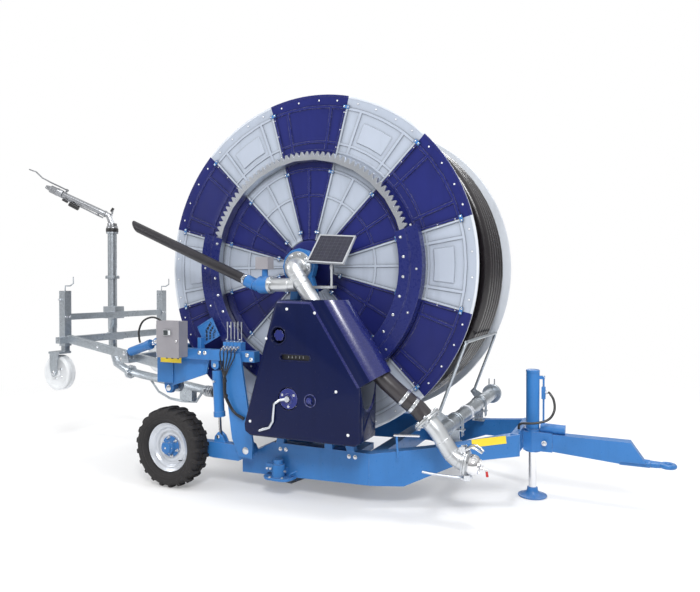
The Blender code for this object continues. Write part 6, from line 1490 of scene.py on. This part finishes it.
def build_pins():
    """Silver pin heads at the arms' pivots, the rams' eyes and the lift's pin."""
    shapes = []
    for side in (-1, 1):
        way = (0, side, 0)
        shapes += pin_head((-0.500, side * 1.0500, 0.400), way, 0.034)
        shapes += pin_head((-0.875, side * EYE_FACE, 1.170), way, 0.018)
        shapes += pin_head((-1.500, side * 0.9452, 0.900), way, 0.030)
    hardware("pivot_pins", shapes)
    for side, tag in ((-1, "near"), (1, "far")):
        head = pin_head((-0.835, side * EYE_FACE, 0.490), (0, side, 0), 0.018)
        hardware(f"arm_pin_{tag}", head, f"arm_{tag}")
        mouth = Vector((-0.875, side * RAM_Y, 1.170)).lerp(Vector((-0.835, side * RAM_Y, 0.490)), 0.22)
        port = [rod(mouth + Vector((0.0, side * 0.048, 0)), mouth + Vector((0.0, side * 0.068, 0)), 0.010, 14),
                hexagon(mouth + Vector((0, side * 0.062, 0)), (0, side, 0), 0.022, 0.012, washer=False)]
        hardware(f"ram_port_{tag}", port, f"ram_{tag}")
    hardware("lift_pin_head", pin_head((-2.080, -0.9625, 1.225), (0, -1, 0), 0.020), "lift")
    hardware("lift_rod_pin", pin_head((-1.655, -0.9625, 1.365), (0, -1, 0), 0.020))
    rail_spots = ((-1.050, 1.285), (-0.985, 1.285), (-0.500, 1.285), (-0.455, 1.245))
    beam_spots = ((-0.20, 0.42), (-0.14, 0.42), (0.50, 0.43), (0.56, 0.43))
    bolts = [hexagon((x, -1.0301, z), (0, -1, 0), 0.026, 0.012) for x, z in rail_spots]
    for side in (-1, 1):
        bolts += [hexagon((x, side * 0.9302, z), (0, side, 0), 0.024, 0.012) for x, z in beam_spots]
        bolts += [hexagon((2.045, side * 0.1092, 0.520), (0, side, 0), 0.030, 0.014)]
    hardware("chassis_bolts", bolts)


def build_motor_details():
    x, y = -0.180, -1.000
    shapes = bolt_circle((x, y, 0.1900), (0, 0, 1), 0.085, 4, 0.022, 0.012, 0.6)
    for off in (-0.018, 0.018):
        port = Vector((x - 0.070, y - 0.035, 0.265)) + Vector((off, 0, 0))
        shapes.append(rod(port, port + Vector((0, -0.024, 0)), 0.009, 14))
        shapes.append(hexagon(port + Vector((0, -0.010, 0)), (0, -1, 0), 0.021, 0.012, washer=False))
    shapes.append(rod((x + 0.060, y, 0.240), (x + 0.085, y, 0.240), 0.010, 14))
    shapes.append(hexagon((x + 0.066, y, 0.240), (1, 0, 0), 0.021, 0.010, washer=False))
    hardware("motor_fittings", shapes)
    route = smooth_path([(x + 0.115, y + 0.010, 0.190), (x + 0.130, y - 0.005, 0.225),
                         (x + 0.200, y - 0.015, 0.262)], 10)
    lever = swept(route, 0.006, 12)
    piece("motor_lever", [lever], "blue", "chassis")
    rail = [swept([(0.925, -0.930, 0.660), (1.140, -0.918, 0.672)], 0.012, 16),
            dome((0.925, -0.930, 0.660), (-1, 0.05, -0.05), 0.012, 0.008),
            dome((1.140, -0.918, 0.672), (1, 0, 0), 0.012, 0.008)]
    piece("spare_rod", rail, "chrome", "chassis")
    piece("spare_rod_post", [rod((0.945, -0.900, 0.470), (0.945, -0.928, 0.655), 0.010, 14)], "blue", "chassis")


def build_jack_details():
    top = Vector((JACK_X + 0.095, 0, 0.960))
    shapes = [rod(top + Vector((0.016, 0, 0)), top + Vector((0.040, 0, 0)), 0.0135, 14),
              hexagon(top + Vector((0.018, 0, 0)), (1, 0, 0), 0.030, 0.014, washer=False)]
    shapes.append(hexagon((JACK_X + 0.095, 0, 1.100), (0, 0, 1), 0.022, 0.012))
    hardware("jack_fittings", shapes, bevel=0.0008)
    cap = turned([(0.0, 0.007), (0.052, 0.006), (0.0605, 0.002), (0.0612, -0.004), (0.0612, -0.020),
                  (0.060, -0.022)], 48, (JACK_X, 0, 1.158), (JACK_X, 0, 2))
    collar = turned([(0.0600, 0.0), (0.0630, 0.002), (0.0630, 0.020), (0.0600, 0.022)], 48, (JACK_X, 0, 0.431),
                    (JACK_X, 0, 2))
    piece("jack_caps", [cap, collar], "blue", "chassis", angle=CRISP)


# Gun cart

CART_X = -3.150
RISER_X = -3.240
LEG_Y = 0.790


def build_cart_wheels():
    for side, tag in ((-1, "near"), (1, "far")):
        centre = Vector((CART_X - 0.050, side * (LEG_Y + 0.035), 0.945))
        out = centre + Vector((0, side, 0))
        rows = [(0.0165, -0.045), (0.0300, -0.046), (0.0360, -0.036), (0.140, -0.032), (0.150, -0.040),
                (0.168, -0.054), (0.176, -0.0548), (0.1985, -0.044), (0.200, -0.038), (0.2000, -0.014),
                (0.1975, -0.010), (0.1975, 0.010), (0.2000, 0.014), (0.200, 0.038), (0.1985, 0.044), (0.176, 0.0548),
                (0.168, 0.054), (0.152, 0.042), (0.142, 0.036), (0.040, 0.034), (0.036, 0.045), (0.030, 0.050),
                (0.0165, 0.050)]
        shapes = [turned(rows, 72, centre, out, closed=True)]
        piece(f"cart_wheel_{tag}_disc", shapes, "white", f"cart_wheel_{tag}", (f"cart_wheel_{tag}",),
              angle=CRISP)
        studs = bolt_circle(centre + Vector((0, side * 0.0342, 0)), (0, side, 0), 0.075, 5, 0.018, 0.009)
        hardware(f"cart_wheel_bolts_{tag}", studs, f"cart_wheel_{tag}")
        end = centre + Vector((0, side * 0.088, 0))
        hardware(f"cart_axle_nut_{tag}", [hexagon(end, (0, side, 0), 0.034, 0.014)], f"leg_{tag}")


def build_cart_details():
    shapes = bolt_circle((RISER_X, 0, 2.0625), (0, 0, 1), 0.072, 6, 0.015, 0.008)
    shapes += bolt_circle((RISER_X, 0, 2.6895), (0, 0, 1), 0.062, 6, 0.013, 0.007)
    joint = Vector((RISER_X + 0.300, 0, 0.866))
    shapes += bolt_circle(joint + Vector((0.020, 0, -0.003)), (1, 0, -0.15), 0.076, 6, 0.015, 0.008)
    for side in (-1, 1):
        y = side * LEG_Y
        shapes += [hexagon((CART_X + 0.0453, y + off, z), (1, 0, 0), 0.020, 0.010)
                   for off in (-0.024, 0.024) for z in (1.300, 1.580)]
        shapes.append(hexagon((CART_X - 0.02, y + side * 0.0453, 1.780), (0, side, 0), 0.018, 0.030))
    for x in (-2.20, -2.60):
        z = 1.075 + (x + 1.48) / (-3.07 + 1.48) * 0.26
        shapes += [hexagon((x, side * 0.8405, z), (0, side, 0), 0.018, 0.009) for side in (-1, 1)]
    hardware("cart_bolts", shapes, "lift")
    start, _, way = lead_line()
    bands = []
    for i in range(3):
        bands += clamp_band(start - way * (0.024 + 0.036 * i), way, 0.0605, 0.020, (0, -1, 0.2))
    hardware("coupling_bands", bands, "lift", bevel=0.0006)
    ribs = [(0.0552 + (0.0035 if k % 2 else 0.0), 0.008 * k) for k in range(14)]
    ribs = [(0.0550, -0.001)] + ribs + [(0.0550, 0.112)]
    piece("lead_sleeve", [turned(ribs, 40, start + way * 0.004, start + way)], "small_hose", "lift",
          angle=math.radians(60))


def build_gun_details():
    turn = Matrix.Translation((RISER_X, 0, 0)) @ Matrix.Rotation(math.radians(35), 4,
                                                                 "Z") @ Matrix.Translation((-RISER_X, 0, 0))
    rise = math.radians(25)
    way = Vector((-math.cos(rise), 0, math.sin(rise)))
    bend = Vector((RISER_X, 0, 2.810))

    def placed(shape):
        points, faces = shape
        return [turn @ p for p in points], faces

    rows = [(0.0365, 0.640), (0.043, 0.644), (0.047, 0.652), (0.047, 0.700), (0.050, 0.704), (0.050, 0.722),
            (0.047, 0.726), (0.046, 0.790), (0.040, 0.800), (0.031, 0.806), (0.029, 0.820), (0.0215, 0.858),
            (0.0200, 0.860), (0.0140, 0.860), (0.0140, 0.820),
            (0.0, 0.820)]
    shapes = [placed(turned(rows, 36, bend, bend + way))]
    shapes.append(placed(turned([(0.0365, 0.080), (0.042, 0.084), (0.042, 0.104), (0.0365, 0.108)], 36, bend,
                                bend + way)))
    piece("gun_nozzle", shapes, "alloy", "gun", angle=CRISP)
    base = turned([(0.0695, 0.0005), (0.0735, 0.001), (0.0745, 0.006), (0.0745, 0.042), (0.0735, 0.046),
                   (0.060, 0.048)], 40, (RISER_X, 0, 2.6203), (RISER_X, 0, 3))

    def bar(first, last, radius, sides):
        """A rod between places given along the barrel, across it and up."""
        ends = [bend + way * along + Vector((0, across, rise)) for along, across, rise in (first, last)]
        return placed(rod(*ends, radius, sides))

    weight = bar((0.440, 0, -0.085), (0.560, 0, -0.078), 0.030, 20)
    spring = [bar((0.590, 0.034 * s, -0.070), (0.640, 0.034 * s, -0.066), 0.014, 14) for s in (-1, 1)]
    link = bar((0.500, 0, -0.082), (0.510, 0, -0.030), 0.009, 10)
    grip = rod((RISER_X - 0.013, 0, 2.878), (RISER_X + 0.016, 0, 2.925), 0.015, 16, 0.017)
    piece("gun_black_parts", [base, weight, link, placed(grip)] + spring, "black", "gun", bevel=0.002)


def free_hose(name, path, radius, material, body, nodes=(), sides=16):
    path = [Vector(p) for p in path]
    obj = piece(name, [swept(path, radius, sides)], material, body, nodes)
    return obj


JACK_HOSE = [
    (JACK_X + 0.1123, 0.000, 0.960), (JACK_X + 0.145, 0.000, 0.960), (JACK_X + 0.185, -0.020, 0.900),
    (JACK_X + 0.195, -0.055, 0.810), (JACK_X + 0.150, -0.105, 0.735), (JACK_X + 0.040, -0.140, 0.700),
    (JACK_X - 0.075, -0.150, 0.690), (JACK_X - 0.100, -0.152, 0.665), (JACK_X - 0.100, -0.152, 0.6383)]
LIFT_HOSE = [
    (-1.900, -0.925, 1.3415), (-1.912, -0.925, 1.378), (-1.915, -0.925, 1.470), (-1.850, -0.930, 1.570),
    (-1.720, -0.930, 1.610), (-1.600, -0.925, 1.560), (-1.550, -0.925, 1.440), (-1.550, -0.925, 1.4003)]
PORT_WAY = Vector((0, -0.914, -0.406)).normalized()
LEVERS_X = (-0.750, -0.710, -0.670, -0.630, -0.590)


def valve_port(x):
    return Vector((x, -1.070, 1.340))


def build_hoses():
    start, touch, way = lead_line()
    ends = (start + way * 0.0003, touch - way * (2 * HOSE_R + 0.0003))
    lead = [ends[0].lerp(ends[1], i / 15) for i in range(16)]
    follows = ("lift", "chassis", tuple(ends[0] + way * 0.13), tuple(ends[1]))
    free_hose("lead_hose", lead, HOSE_R, "hose", follows, ("hose_lead",), 24)
    free_hose("jack_feed", seated(JACK_HOSE, 32), 0.011, "small_hose", "chassis", ("jack_hose",))
    free_hose("lift_feed", seated(LIFT_HOSE, 32), 0.010, "small_hose", "chassis", ("lift_hose",))
    waist = Vector((-0.700, -1.100, 1.060))
    for i, x in enumerate(LEVERS_X):
        port = valve_port(x)
        turn = 2 * math.pi * i / 5
        off = Vector((math.cos(turn), math.sin(turn), 0)) * 0.0100
        route = [port + PORT_WAY * 0.001, port + PORT_WAY * 0.030, (x, -1.104, 1.270),
                 (waist.x + (i - 2) * 0.014, waist.y, 1.130), (waist.x + off.x, waist.y + off.y, 1.060),
                 (waist.x + off.x, waist.y + off.y, 1.020), (waist.x + 0.010 + off.x, waist.y + off.y, 0.900),
                 (waist.x + 0.090 + off.x, -1.085 + off.y, 0.760),
                 (-0.500 + off.x * 0.6, -1.080 + off.y, 0.700 + off.x)]
        free_hose(f"valve_feed_{i + 1}", smooth_path(route, 40), 0.0058, "small_hose", "chassis",
                  ("valve_hoses",) if i == 0 else (), 10)


bpy.context.scene.view_settings.view_transform = "Standard"
build_stage()
build_light()
build_camera()
build_drum()
build_guard()
build_stands()
build_hood()
build_plain()
build_wheels()
build_inlet()
build_supply()
build_manifold()
build_crossover()
build_bail()
build_discharge()
build_hood_details()
build_jack()
build_hitch()
build_solar()
build_box_details()
build_grille()
build_strips()
build_valve_details()
build_pins()
build_motor_details()
build_jack_details()
build_cart_wheels()
build_cart_details()
build_gun_details()
build_hoses()
